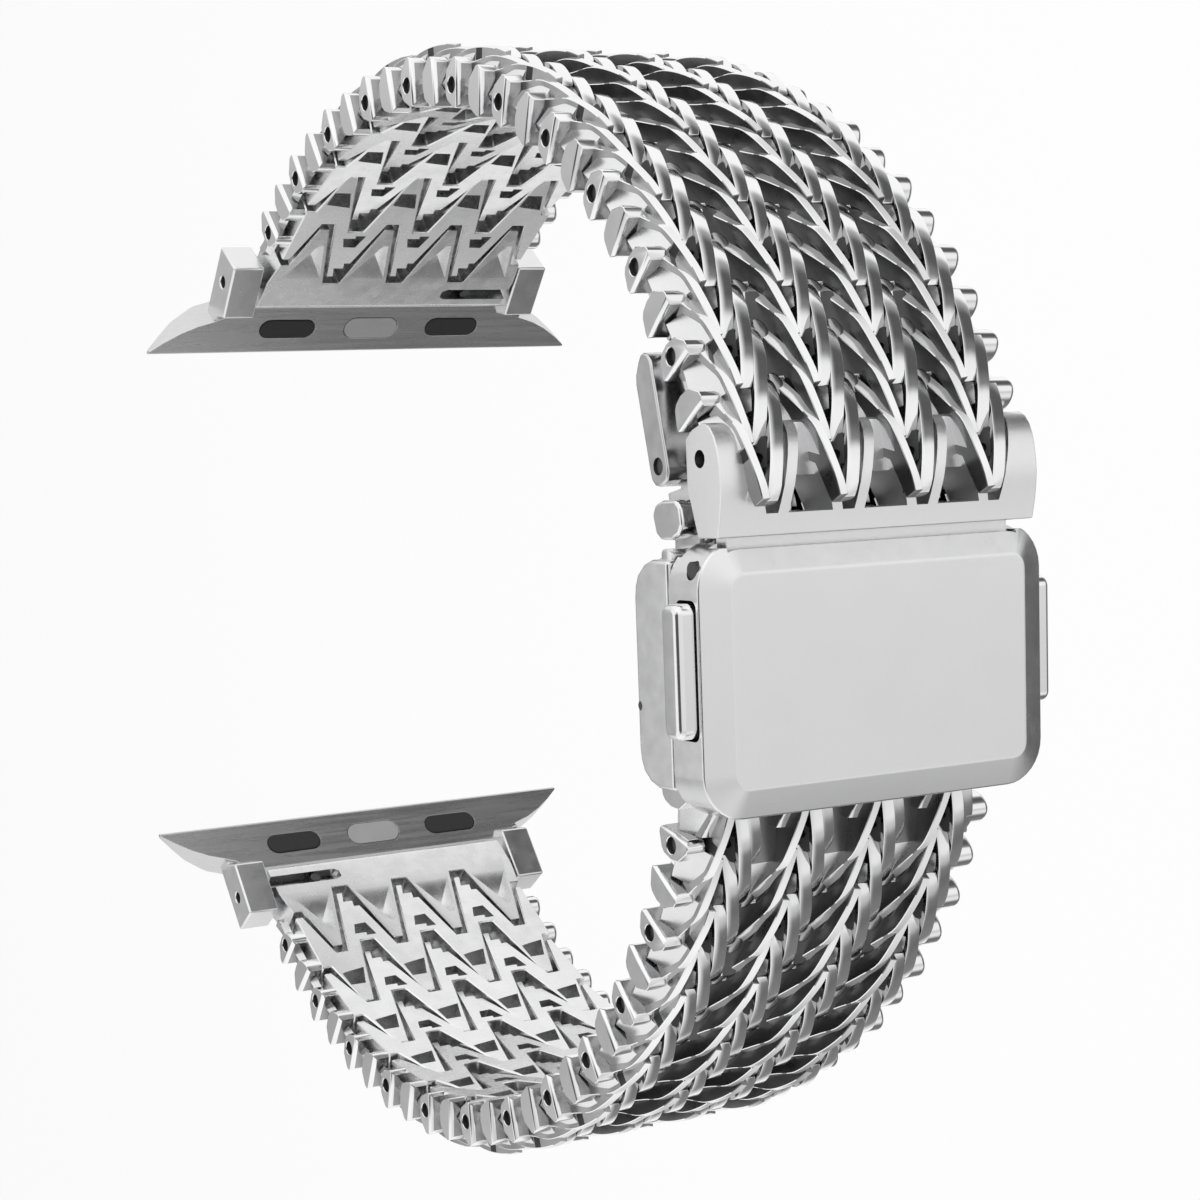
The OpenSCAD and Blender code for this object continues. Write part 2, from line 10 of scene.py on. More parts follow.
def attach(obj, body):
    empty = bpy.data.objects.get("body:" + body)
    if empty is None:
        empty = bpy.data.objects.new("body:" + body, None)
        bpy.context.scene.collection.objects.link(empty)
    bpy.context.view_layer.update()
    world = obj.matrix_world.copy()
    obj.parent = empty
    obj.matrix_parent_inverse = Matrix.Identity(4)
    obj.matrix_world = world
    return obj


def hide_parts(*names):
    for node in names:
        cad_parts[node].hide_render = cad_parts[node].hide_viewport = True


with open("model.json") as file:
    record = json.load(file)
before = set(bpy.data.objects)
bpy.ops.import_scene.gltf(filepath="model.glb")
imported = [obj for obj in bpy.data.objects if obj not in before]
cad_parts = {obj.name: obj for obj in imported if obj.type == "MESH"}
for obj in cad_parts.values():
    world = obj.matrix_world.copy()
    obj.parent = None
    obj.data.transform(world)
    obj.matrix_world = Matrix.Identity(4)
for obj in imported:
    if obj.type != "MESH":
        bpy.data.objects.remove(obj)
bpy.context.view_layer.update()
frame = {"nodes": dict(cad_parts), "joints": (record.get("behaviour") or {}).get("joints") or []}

bl_info = {
    "name": "Chevron link watch band",
    "version": (1, 0, 0),
    "blender": (4, 5, 0),
    "location": "3D View > Sidebar > Watch Band",
    "description": "Dresses the packed chevron link watch band and its magnetic clasp",
    "category": "Object",
}

JOINTS = {joint["name"]: joint for joint in frame["joints"]}
MM = 0.001

# Each piece is laid out flat, in millimetres: u runs along the chain, w away from the wrist and
# z along the hinges. A place across the band, v, is measured from the near edge.

# Sizes and places of the links, which follow the solids
LINK_COUNT = {"upper": 11, "lower": 14}
PITCH = 6.15
HALF_PITCH = PITCH / 2
HALF_WIDTH = 11.0
NEAR_EDGE = HALF_WIDTH - 1.2
FAR_EDGE = 1.1 - HALF_WIDTH
COLUMNS = 4
FIRST_COLUMN = 3.4
COLUMN_STEP = 5.15
TIP_OVER = 1.9
TOOTH_HALF = 0.4
LEFT_SLOPE, RIGHT_SLOPE = 0.27, 0.24
TIP_GAP = 0.8
PRONG_GAP = 0.3
PRONG_BACK = 3.5
NOTCH_BACK = PRONG_BACK + TIP_GAP
EDGE_BACK = 2
PLATE_BACK = -1.45
PLATE_IN, PLATE_OUT = -1.3, 0.9
END_LENGTH = 5.4
END_NOTCH = 4.05
PIN_RADIUS = 0.5
BAR_HOLE = 0.42
# A cutter reaches this far along the hinges, past both edges
ALL_ACROSS = (-12, 12)
# Faces that meet at less than this angle, in degrees, are shaded as one
SMOOTH_ANGLE = 32

# Slots of the finishes of the chevron links; recess and wall are painted shade, bore is painted shadow and
# pin is darkened with painted shade
LINK_SLOTS = ("polished", "satin", "recess", "bore", "pin", "wall")
POLISHED, SATIN, RECESS_SHADE, BORE, PIN_SHADE, WALL_SHADE = range(len(LINK_SLOTS))
# Slots of the finishes of the other pieces, in the order in which their operators give them
MAIN, SECOND, THIRD = range(3)


def joint_place(name):
    """Where a joint turns, in millimetres."""
    place = JOINTS[name]["pos_m"]
    return Vector((place[0] / MM, place[1] / MM, 0))


# Sizes and colours


class BandSizes(bpy.types.PropertyGroup):
    """Sizes of the dressed links"""

    ribbon_width: FloatProperty(
        name="Ribbon width", description="Width of the narrow left arm of a chevron",
        default=0.00047, min=0.0002, max=0.0006, unit="LENGTH")
    crescent_width: FloatProperty(
        name="Crescent width", description="Width of the flat right arm of a chevron",
        default=0.0009, min=0.0004, max=0.001, unit="LENGTH")
    arm_height: FloatProperty(
        name="Arm height", description="Height of the arms above the hinge",
        default=0.0024, min=0.0018, max=0.0026, unit="LENGTH")
    edge_round: FloatProperty(
        name="Edge rounding", description="Width of the rounded edges of the arms",
        default=0.00006, min=0.00002, max=0.00012, unit="LENGTH")
    pin_recess: FloatProperty(
        name="Pin recess", description="How deep the hinge pins lie in their holes",
        default=0.0003, min=0.0002, max=0.0009, unit="LENGTH")


class BandColours(bpy.types.PropertyGroup):
    """Colours of the finishes"""

    polished: FloatVectorProperty(
        name="Polished steel", description="Colour of the polished arms and edges",
        default=(0.93, 0.93, 0.935), size=3, min=0, max=1, subtype="COLOR")
    satin: FloatVectorProperty(
        name="Satin steel", description="Colour of the satin plates",
        default=(0.86, 0.86, 0.865), size=3, min=0, max=1, subtype="COLOR")
    # Painted shade: this dark colour of the floors between the arms, of the pocket floors and of the upright
    # sides of the narrow arms stands for the shade that falls there
    recess: FloatVectorProperty(
        name="Recess steel", description="Colour of the blasted floors between the arms",
        default=(0.27, 0.27, 0.273), size=3, min=0, max=1, subtype="COLOR")
    # Painted shade: this mid grey on the upright sides of the flat arms and of the first narrow arms, on the
    # rear webs, the lobes and the faces of the near knuckles that face along the chain stands for the shade
    # on them
    wall: FloatVectorProperty(
        name="Wall steel", description="Colour of the side walls of the flat arms",
        default=(0.42, 0.42, 0.425), size=3, min=0, max=1, subtype="COLOR")
    adapter: FloatVectorProperty(
        name="Adapter steel", description="Colour of the watch adapters",
        default=(0.66, 0.66, 0.66), size=3, min=0, max=1, subtype="COLOR")
    rubber: FloatVectorProperty(
        name="Pad rubber", description="Colour of the rubber pads",
        default=(0.012, 0.012, 0.013), size=3, min=0, max=1, subtype="COLOR")
    floor: FloatVectorProperty(
        name="Floor", description="Colour of the floor and of what stands behind",
        default=(1.0, 1.0, 1.0), size=3, min=0, max=1, subtype="COLOR")


def sizes():
    return bpy.context.scene.band_sizes


def mm(value):
    """A size in metres as millimetres."""
    return value / MM


# Finishes


def fill(tree, target, inputs):
    """Links each input of a shader node to a socket, or sets its value."""
    for key, value in inputs.items():
        if isinstance(value, bpy.types.NodeSocket):
            tree.links.new(value, target.inputs[key])
        else:
            target.inputs[key].default_value = value


def node(tree, kind, inputs=None, **settings):
    """A shader node with its settings and inputs."""
    made = tree.nodes.new(kind)
    for key, value in settings.items():
        setattr(made, key, value)
    fill(tree, made, inputs or {})
    return made


def ramp(tree, source, stops, interpolation="LINEAR"):
    """The greys of a list of stops, picked by a source."""
    made = node(tree, "ShaderNodeValToRGB", {"Fac": source})
    made.color_ramp.interpolation = interpolation
    elements = made.color_ramp.elements
    while len(elements) < len(stops):
        elements.new(0.5)
    for element, (place, value) in zip(elements, stops):
        element.position = place
        element.color = (value, value, value, 1)
    return made.outputs["Color"]


def finish(name, colour, rough, spread=0.05, shade=0.9, grain=(900, 900, 900), bump=0.02, metallic=1.0):
    """A surface with a fine grain, a slightly uneven polish and a soft change of tone."""
    material = bpy.data.materials.get(name)
    if material:
        return material
    material = bpy.data.materials.new(name)
    material.use_nodes = True
    tree = material.node_tree
    place = node(tree, "ShaderNodeTexCoord").outputs["Object"]
    cloud = node(tree, "ShaderNodeTexNoise", {"Vector": place, "Scale": 260.0, "Detail": 4})
    stretch = node(tree, "ShaderNodeMapping", {"Vector": place, "Scale": grain})
    lines = node(tree, "ShaderNodeTexNoise", {"Vector": stretch.outputs["Vector"], "Scale": 1.0, "Detail": 3})
    tone = node(tree, "ShaderNodeMix", {
        "Factor": ramp(tree, cloud.outputs["Fac"], [(0.35, 0), (0.6, 1)]),
        "A": (*[c * shade for c in colour], 1), "B": (*colour, 1)}, data_type="RGBA")
    gloss = node(tree, "ShaderNodeMapRange", {
        "Value": lines.outputs["Fac"], "From Min": 0.3, "From Max": 0.7,
        "To Min": max(0.02, rough - spread), "To Max": rough + spread})
    relief = node(tree, "ShaderNodeBump", {
        "Height": lines.outputs["Fac"], "Strength": bump, "Distance": 0.00005})
    fill(tree, tree.nodes["Principled BSDF"], {
        "Metallic": metallic, "Base Color": tone.outputs["Result"],
        "Roughness": gloss.outputs["Result"], "Normal": relief.outputs["Normal"]})
    return material


def finishes():
    """All finishes, made once from the colours of the scene."""
    colours = bpy.context.scene.band_colours
    return {
        "polished": finish("polished_steel", colours.polished, 0.12, spread=0.03, shade=0.97, bump=0.01),
        "satin": finish("satin_steel", colours.satin, 0.26, spread=0.06, shade=0.95, bump=0.03),
        # Painted shade: the recess finish is a dark copy of the steel for floors and sides that lie in shade
        "recess": finish("recess_painted_shade", colours.recess, 0.32, spread=0.06, shade=0.8, bump=0.04),
        # Painted shade: the wall finish is a mid grey copy of the steel for walls, webs, lobes and knuckle
        # faces that lie in shade
        "wall": finish("wall_painted_shade", colours.wall, 0.24, bump=0.03),
        "bore": finish("bore_shadow", (0.02, 0.02, 0.021), 0.6, spread=0.1, shade=0.6, metallic=0.0),
        # Painted shade: the pin finish is dark for the shade on the pin ends that sit deep in their holes;
        # pins and knobs that stay as solids get it too
        "pin": finish("pin_steel_end", (0.11, 0.11, 0.112), 0.45, spread=0.1, shade=0.8),
        "clasp_face": finish("clasp_face_satin", (0.88, 0.88, 0.885), 0.34, shade=0.985,
                             grain=(7000, 7000, 7000), bump=0.1),
        "clasp": finish("clasp_polished", (0.84, 0.84, 0.845), 0.24, spread=0.04, shade=0.985),
        "tail": finish("tail_polished", (0.7, 0.7, 0.705), 0.2, spread=0.04, shade=0.97),
        "adapter": finish("adapter_satin", colours.adapter, 0.28, shade=0.96,
                          grain=(3000, 3000, 120), bump=0.04),
        "latch": finish("latch_satin", (0.42, 0.42, 0.42), 0.42, shade=0.96, metallic=0.35),
        "magnet": finish("magnet_plate", (0.3, 0.3, 0.32), 0.4),
        "spring": finish("spring_wire", (0.55, 0.55, 0.56), 0.3, grain=(400, 400, 6000), bump=0.3),
        "rubber": finish("pad_rubber", colours.rubber, 0.38, spread=0.08, shade=0.7, bump=0.1, metallic=0.0),
    }


def link_finishes():
    made = finishes()
    return [made[key] for key in LINK_SLOTS]


# Solids


def block(corners, step):
    """A block over a ring of corners, drawn out along a step."""
    solid = bmesh.new()
    solid.faces.new([solid.verts.new(corner) for corner in corners])
    grow(solid, step)
    return solid


def prism(outline, low, high):
    """A prism over an outline in (u, z), from the height low to high."""
    return block([(u, low, z) for u, z in outline], (0, high - low, 0))


def bar(profile, near, far):
    """A bar along the hinge with a side profile in (u, w), from z near to z far."""
    return block([(u, w, near) for u, w in profile], (0, 0, far - near))


def rectangle(a0, a1, b0, b1):
    return [(a0, b0), (a1, b0), (a1, b1), (a0, b1)]


def box(x0, x1, y0, y1, z0, z1):
    solid = bmesh.new()
    bmesh.ops.create_cube(solid, size=1)
    bmesh.ops.scale(solid, vec=(x1 - x0, y1 - y0, z1 - z0), verts=solid.verts[:])
    return move(solid, ((x0 + x1) / 2, (y0 + y1) / 2, (z0 + z1) / 2))


def rounded_block(corners, step, radius, steps):
    """A block with its corners rounded, drawn out along a step."""
    solid = bmesh.new()
    ring = [solid.verts.new(corner) for corner in corners]
    solid.faces.new(ring)
    bevel(solid, ring, radius, steps, affect="VERTICES")
    grow(solid, step)
    return solid


def rod(centre, radius, near, far, sides=24):
    """A round rod along the hinge."""
    solid = bmesh.new()
    bmesh.ops.create_cone(solid, cap_ends=True, segments=sides, radius1=radius, radius2=radius,
                          depth=abs(far - near))
    return move(solid, (centre[0], centre[1], (near + far) / 2))


def strip(steps, place, rows=1):
    """A bent strip: place(t, side, top) gives the (u, w, z) of each of its corners."""
    solid = bmesh.new()
    bmesh.ops.create_grid(solid, x_segments=steps, y_segments=rows, size=1)
    moved = set(grow(solid, (0, 0, 1)))
    for vert in solid.verts:
        t, side = (vert.co.x + 1) / 2, (vert.co.y + 1) / 2
        vert.co = place(t, side, vert in moved)
    bmesh.ops.recalc_face_normals(solid, faces=solid.faces[:])
    return solid


def grow(solid, step):
    """Draws a sheet out along a step and returns the vertices that moved."""
    grown = bmesh.ops.extrude_face_region(solid, geom=solid.faces[:])
    moved = [g for g in grown["geom"] if isinstance(g, bmesh.types.BMVert)]
    bmesh.ops.translate(solid, vec=step, verts=moved)
    bmesh.ops.recalc_face_normals(solid, faces=solid.faces[:])
    return moved


def move(solid, step):
    bmesh.ops.translate(solid, vec=step, verts=solid.verts[:])
    return solid


def turn(solid, degrees, axis):
    bmesh.ops.rotate(solid, verts=solid.verts[:], cent=(0, 0, 0),
                     matrix=Matrix.Rotation(math.radians(degrees), 3, axis))
    return solid


def bevel(solid, parts, width, steps, affect="EDGES", clamp=True):
    """Chamfers edges or corners, or rounds them in a few steps."""
    bmesh.ops.bevel(solid, geom=parts, offset=width, offset_type="OFFSET", segments=steps, profile=0.5,
                    affect=affect, clamp_overlap=clamp, material=-1)
    return solid


def round_edges(solid, width, steps=2, sharp=28):
    """Rounds the edges whose faces meet at more than an angle."""
    edges = [e for e in solid.edges if len(e.link_faces) == 2 and e.calc_face_angle(0) > math.radians(sharp)]
    return bevel(solid, edges, width, steps)


def edges_where(solid, test):
    """The edges of which both ends pass a test of their place."""
    return [e for e in solid.edges if all(test(v.co) for v in e.verts)]


def mesh_of(name, solid):
    """Turns a solid into a mesh."""
    mesh = bpy.data.meshes.new(name)
    solid.to_mesh(mesh)
    solid.free()
    return mesh


def add_object(name, data):
    made = bpy.data.objects.new(name, data)
    bpy.context.scene.collection.objects.link(made)
    return made


def join(whole, solid, slot, sides=None):
    """Adds a solid to the whole in one finish, or with its upright sides in another."""
    for face in solid.faces:
        upright = sides is not None and abs(face.normal.y) < 0.6
        face.material_index = sides if upright else slot
    carrier = mesh_of("carrier", solid)
    whole.from_mesh(carrier)
    bpy.data.meshes.remove(carrier)


def carve(solid, *cutters):
    """The solid less the cutters, cut with Boolean modifiers that are applied at once."""
    holders = []
    for part in (solid, *cutters):
        bmesh.ops.recalc_face_normals(part, faces=part.faces[:])
        holders.append(add_object("blank", mesh_of("blank", part)))
    for cutter in holders[1:]:
        cut = holders[0].modifiers.new("cut", "BOOLEAN")
        cut.operation = "DIFFERENCE"
        cut.solver = "EXACT"
        cut.object = cutter
    graph = bpy.context.evaluated_depsgraph_get()
    mesh = bpy.data.meshes.new_from_object(holders[0].evaluated_get(graph))
    result = bmesh.new()
    result.from_mesh(mesh)
    bmesh.ops.remove_doubles(result, verts=result.verts[:], dist=1e-4)
    bmesh.ops.recalc_face_normals(result, faces=result.faces[:])
    bpy.data.meshes.remove(mesh)
    for holder in holders:
        mesh = holder.data
        bpy.data.objects.remove(holder)
        bpy.data.meshes.remove(mesh)
    return result


def in_bore(face, centre, radius):
    """Whether a face is part of the wall of a bore along the hinge."""
    spot = face.calc_center_median()
    return abs(face.normal.z) < 0.5 and math.hypot(spot.x - centre[0], spot.y - centre[1]) < radius + 0.01


# Paints the wall of a bore with the dark bore or pin finish: painted shadow in the hole
def paint_bore(whole, centre, radius, slot):
    for face in whole.faces:
        if in_bore(face, centre, radius):
            face.material_index = slot


# Placing


def upper_place(point, degrees):
    """From the flat layout of an upper piece, in millimetres, to its place, in metres."""
    return (Matrix.Scale(MM, 4) @ Matrix.Translation(point)
            @ Matrix.Rotation(math.radians(degrees), 4, "Z"))


def lower_place(point, degrees):
    """The same for a lower piece, which is turned over."""
    return upper_place(point, degrees) @ Matrix.Scale(-1, 4, (0, 1, 0))


def direction(start, end):
    step = end - start
    return math.degrees(math.atan2(step.y, step.x))


def put_copy(name, layout, place, body, replaced, slot, materials):
    """Puts a copy of a flat layout in its place as a piece of the band."""
    mesh = layout.copy()
    mesh.name = name
    mesh.transform(place)
    if place.determinant() < 0:
        mesh.flip_normals()
    for material in materials:
        mesh.materials.append(material)
    mesh.shade_smooth()
    mesh.set_sharp_from_angle(angle=math.radians(SMOOTH_ANGLE))
    piece = add_object(name, mesh)
    flow = piece.modifiers.new("flat_faces", "WEIGHTED_NORMAL")
    flow.keep_sharp = True
    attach(piece, body)
    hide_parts(replaced)


def put_piece(name, layout, *where):
    """Puts a layout that is used once in its place."""
    put_copy(name, layout, *where)
    bpy.data.meshes.remove(layout)


# Chevron links


def column(k):
    """Middle of a column of teeth, in v."""
    return FIRST_COLUMN + k * COLUMN_STEP


def across(v):
    """Height in z of a place across the band."""
    return HALF_WIDTH - v


def tooth_left(u, tip, k, gap=0.0):
    """Left side of a tooth that ends at a tip, or a line that runs beside it at a gap."""
    return across(column(k) - TOOTH_HALF - (tip - u) * LEFT_SLOPE - gap)


def tooth_right(u, tip, k, gap=0.0):
    return across(column(k) + TOOTH_HALF + (tip - u) * RIGHT_SLOPE + gap)


def bent(s, table):
    """A value read from a table of places, with a smooth curve through them."""
    last = len(table) - 1
    i = 0
    while i < last - 1 and s > table[i + 1][0]:
        i += 1
    (a, va), (b, vb) = table[i], table[i + 1]
    before, after = table[max(0, i - 1)], table[min(last, i + 2)]
    t = (s - a) / (b - a)
    rise_a = (vb - before[1]) / (b - before[0]) * (b - a)
    rise_b = (after[1] - va) / (after[0] - a) * (b - a)
    return (va * (2 * t ** 3 - 3 * t ** 2 + 1) + rise_a * (t ** 3 - 2 * t ** 2 + t)
            + vb * (3 * t ** 2 - 2 * t ** 3) + rise_b * (t ** 3 - t ** 2))


# How the arms of a chevron run back from its tip: sideways and in height
RIBBON_SIDE = [(0, 0), (1, 0.17), (2, 0.33), (3, 0.44), (4, 0.53), (5, 0.64), (5.6, 0.82), (6.2, 1.06),
               (7.3, 1.45)]
RIBBON_TOP = [(0, -0.34), (0.8, -0.12), (1.6, -0.02), (2.4, 0), (3.2, -0.05), (4, -0.2), (5, -0.62),
              (6.2, -1.1), (7.3, -1.75)]
CRESCENT_SIDE = [(0, 0), (1.4, 0.33), (3.3, 0.9), (4.8, 1.5), (6, 1.95), (7.3, 2.38)]
ARM_LENGTH = 7.2
# The free tip of an arm is this long, and the rest of it reaches down to the plate
ARM_TIP = 2.4
ARM_FOOT = 0.55
# A squash lowers what stands above this height
SQUASH_FROM = 1.0
# Tips and lengths of the two rows of chevrons of a link
FIRST_ROW = (PITCH + 0.1, 7.7)
SECOND_ROW = (PITCH + 3.4, 7.95)
CHEVRON_COLUMN = 2.35
# How far the first left arm of a row runs back, to its knuckle
NEAR_REACH = 6.5
# What is cut back on the links beside the clasp: the reach of the left arms, the second row with
# the prongs and, under the fork, the height of the arms
CLASP_REACH = 5.6
CLASP_TRIM = 1.2
FORK_SQUASH = 0.65
# Where the bore of the next hinge shows in a flat arm and in a web: a shallow round pocket whose walls get
# painted shadow stands for it there
ARM_BORE = (PITCH + 0.5, 1.15)
WEB_BORE = (SECOND_ROW[0] - 2.55, 1.42)
SHOWN_BORE = 0.4
# Where the two webs of a chevron start and end, back from its tip, and how far they rise
FRONT_WEB = (0.45, 1.75, 0.65)
REAR_WEB = (1.9, 3.7, 1.1)
# Where the neck starts and ends, back from the tip of the first ribbon
NECK_START, NECK_END = 5.5, 3.0


def past(s, start, most):
    """How far s lies past a start, at most so far."""
    return min(most, max(0.0, s - start))


def chevron(k):
    """Where the arms of a column meet, in v."""
    return CHEVRON_COLUMN + k * COLUMN_STEP


def ribbon_edge(s, k):
    """Middle of the narrow arm at a distance behind its tip."""
    return chevron(k) - 0.22 - bent(s, RIBBON_SIDE)


def arm_foot(s, top, tip_foot):
    """Height of the lower edge of an arm under its top."""
    return min(top - 0.2, tip_foot if s < ARM_TIP else ARM_FOOT)


def left_arm(tip, k, length, reach):
    """The narrow left arm of a chevron, whose top shows as a bright ribbon."""
    width = mm(sizes().ribbon_width)
    height = mm(sizes().arm_height)

    def place(t, side, top):
        back = reach * (1 - t)
        s = back * ARM_LENGTH / length
        wide = width * (1 + 0.3 * past(s, 3.8, 2.0))
        v = ribbon_edge(s, k) + width / 2 - (1 - side) * wide
        w = height + bent(s, RIBBON_TOP) - (1 - side) * (0.12 + 0.03 * past(s, 3.6, 2.4))
        return (tip - back, w if top else arm_foot(s, w, 1.0), across(v))

    return round_edges(strip(20, place), mm(sizes().edge_round) * 0.7, steps=1, sharp=40)


def right_arm(tip, k, length, reach):
    """The flat right arm of a chevron, arched like a crescent."""
    width = mm(sizes().crescent_width)
    height = mm(sizes().arm_height)

    def place(t, side, top):
        back = reach * (1 - t)
        s = back * ARM_LENGTH / length
        wide = width * min(1.0, 0.8 + 0.4 * s, 0.5 + 0.6 * (reach - back))
        v = chevron(k) + bent(s, CRESCENT_SIDE) + side * wide
        w = height - (s - 2.8) ** 2 / (10.2 if s < 2.8 else 12.5)
        return (tip - back, w if top else arm_foot(s, w, 0.95), across(v))

    return round_edges(strip(22, place), mm(sizes().edge_round), steps=2, sharp=40)


def bored_arm(tip, k, length, reach):
    """A flat right arm with a shallow round pocket in its side, whose walls get painted shadow so that it
    looks like the bore of the hinge.
    """
    z = across(chevron(k) + 0.6)
    return carve(right_arm(tip, k, length, reach), rod(ARM_BORE, SHOWN_BORE, z - 0.5, z + 1, sides=20))


def web(tip, k, start, end, rise):
    """A web between the arms of a chevron, which slopes up to the flat arm."""
    def place(t, side, top):
        s = start + (end - start) * t
        v = chevron(k) - 0.22 - 0.04 * s + side * (0.24 + 0.27 * s)
        return (tip - s, 0.95 + rise * side if top else 0.6, across(v))

    return strip(2, place)


def bored_web(tip, k, start, end, rise):
    """A web with a round opening whose walls get painted shadow, so that it looks like the bore of the hinge.
    """
    z = across(chevron(k) + 0.3)
    return carve(web(tip, k, start, end, rise), rod(WEB_BORE, SHOWN_BORE, z - 0.25, z + 1.5, sides=20))


def join_chevron(whole, tip, k, length, left_reach, right_reach, bored=False):
    """Adds the two arms of a chevron and the webs between them."""
    arm, rear_web = (bored_arm, bored_web) if bored else (right_arm, web)
    # Painted shade on the upright sides of the arms: dark on the narrow arms past the first column, mid grey
    # on the first narrow arm, the flat arms and the rear web
    join(whole, left_arm(tip, k, length, left_reach), POLISHED, RECESS_SHADE if k else WALL_SHADE)
    join(whole, arm(tip, k, length, right_reach), POLISHED, WALL_SHADE)
    join(whole, web(tip, k, *FRONT_WEB), SATIN)
    join(whole, rear_web(tip, k, *REAR_WEB), WALL_SHADE)


def arm_lobe(tip, k):
    """The leaf shaped lobe under the start of a left arm."""
    leaf = bmesh.new()
    bmesh.ops.create_uvsphere(leaf, u_segments=16, v_segments=8, radius=1)
    bmesh.ops.scale(leaf, vec=(0.72, 0.2, 0.46), verts=leaf.verts[:])
    turn(leaf, 20, "Y")
    return move(leaf, (tip - 7.3, 0.92, across(chevron(k) - 1.75)))


def neck(tip, length):
    """The hollow polished wall that falls from the first ribbon to the near edge."""
    height = mm(sizes().arm_height)

    def place(t, side, top):
        back = NECK_START + (NECK_END - NECK_START) * t
        s = back * ARM_LENGTH / length
        v_top = ribbon_edge(s, 0) - 0.1
        w_top = height + bent(s, RIBBON_TOP) - 0.1
        drop = 1 - side
        v = v_top - (v_top - 0.5) * drop ** 1.15
        w = w_top - (w_top - 0.1) * drop
        return (tip - back, w, across(v)) if top else (tip - back, w - 0.5, across(v + 0.35))

    return strip(8, place, rows=6)


def rear_outline():
    """Outline of the prongs that take the teeth of the previous link, from the near edge."""
    points = [(PLATE_BACK, NEAR_EDGE)]
    for k in range(COLUMNS):
        left_back = PLATE_BACK if k == 0 else -PRONG_BACK
        right_back = PLATE_BACK if k == COLUMNS - 1 else -PRONG_BACK
        end = TIP_OVER + TIP_GAP
        points += [
            (left_back, tooth_left(left_back, TIP_OVER, k, PRONG_GAP)),
            (end, tooth_left(end, TIP_OVER, k, PRONG_GAP)),
            (end, tooth_right(end, TIP_OVER, k, PRONG_GAP)),
            (right_back, tooth_right(right_back, TIP_OVER, k, PRONG_GAP)),
        ]
    return points + [(PLATE_BACK, FAR_EDGE)]


def front_outline(hinge, depth):
    """Outline of the teeth that reach into the next link, back to the near edge."""
    points = [(hinge - EDGE_BACK, FAR_EDGE)]
    tip = hinge + TIP_OVER
    for k in reversed(range(COLUMNS)):
        right_back = hinge - (EDGE_BACK if k == COLUMNS - 1 else depth)
        left_back = hinge - (EDGE_BACK if k == 0 else depth)
        points += [
            (right_back, tooth_right(right_back, tip, k)),
            (tip, tooth_right(tip, tip, k)),
            (tip, tooth_left(tip, tip, k)),
            (left_back, tooth_left(left_back, tip, k)),
        ]
    return points + [(hinge - EDGE_BACK, NEAR_EDGE)]


KNUCKLE_PEAK = (0.56, 1.86)
KNUCKLE = [(-0.79, 0.76), (-0.8, -0.1), (-0.58, -0.75), (-0.3, -1.02), (0.55, -1.3), (0.86, -1.26),
           (1.0, -1.02), KNUCKLE_PEAK, (-0.15, 1.62)]


def near_knuckle(at, holed):
    """A side knuckle of the near edge, with its two broad bright chamfers."""
    knuckle = bar([(at + u, w) for u, w in KNUCKLE], NEAR_EDGE - 0.05, HALF_WIDTH)
    peak_u, peak_w = at + KNUCKLE_PEAK[0], KNUCKLE_PEAK[1]
    peak = edges_where(knuckle, lambda co: abs(co.x - peak_u) < 0.01 and abs(co.y - peak_w) < 0.01)
    bevel(knuckle, peak, 0.42, 1, clamp=False)
    front = edges_where(knuckle, lambda co: co.z > HALF_WIDTH - 0.01 and co.x - at > 0.2
                        and co.x - at + 0.2 * co.y > 0.5 and co.y > -1.1)
    bevel(knuckle, front, 0.26, 1, clamp=False)
    if holed:
        knuckle = carve(knuckle, rod((at, 0), PIN_RADIUS, 9.9, 12, sides=28))
    return round_edges(knuckle, 0.04, steps=1, sharp=40)


def far_knuckle(at):
    """A rounded stub of the far edge."""
    stub = rod((0, 0), 1, -HALF_WIDTH, -9.2, sides=28)
    bmesh.ops.scale(stub, vec=(0.98, 1.38, 1), verts=stub.verts[:])
    move(stub, (at, 0.22, 0))
    return bevel(stub, edges_where(stub, lambda co: co.z < 0.1 - HALF_WIDTH), 0.4, 5)


# Pockets in the wrist side of a link, in u and v, from the tip of a tooth or from the hinge
TOOTH_WINDOW = [(-3.05, -0.95), (-1.77, -0.75), (-1.77, 0.45), (-3.4, 0.95), (-3.15, -0.6)]
PRONG_WINDOW = [(1.1, 1.75), (0.1, 2.1), (0.05, 3.05), (1.4, 3.45), (1.4, 2.65), (1.1, 2.7)]
PRONG_NOTCH = [(-2.45, 2.25), (-3.7, 2.6), (-3.7, 3.2), (-1.85, 3.35), (-1.85, 2.9), (-2.45, 3.0)]


def pocket(shape, at, k):
    corners = [(at + u, across(column(k) + v)) for u, v in shape]
    return prism(corners, PLATE_IN - 0.2, PLATE_IN + 1.3)


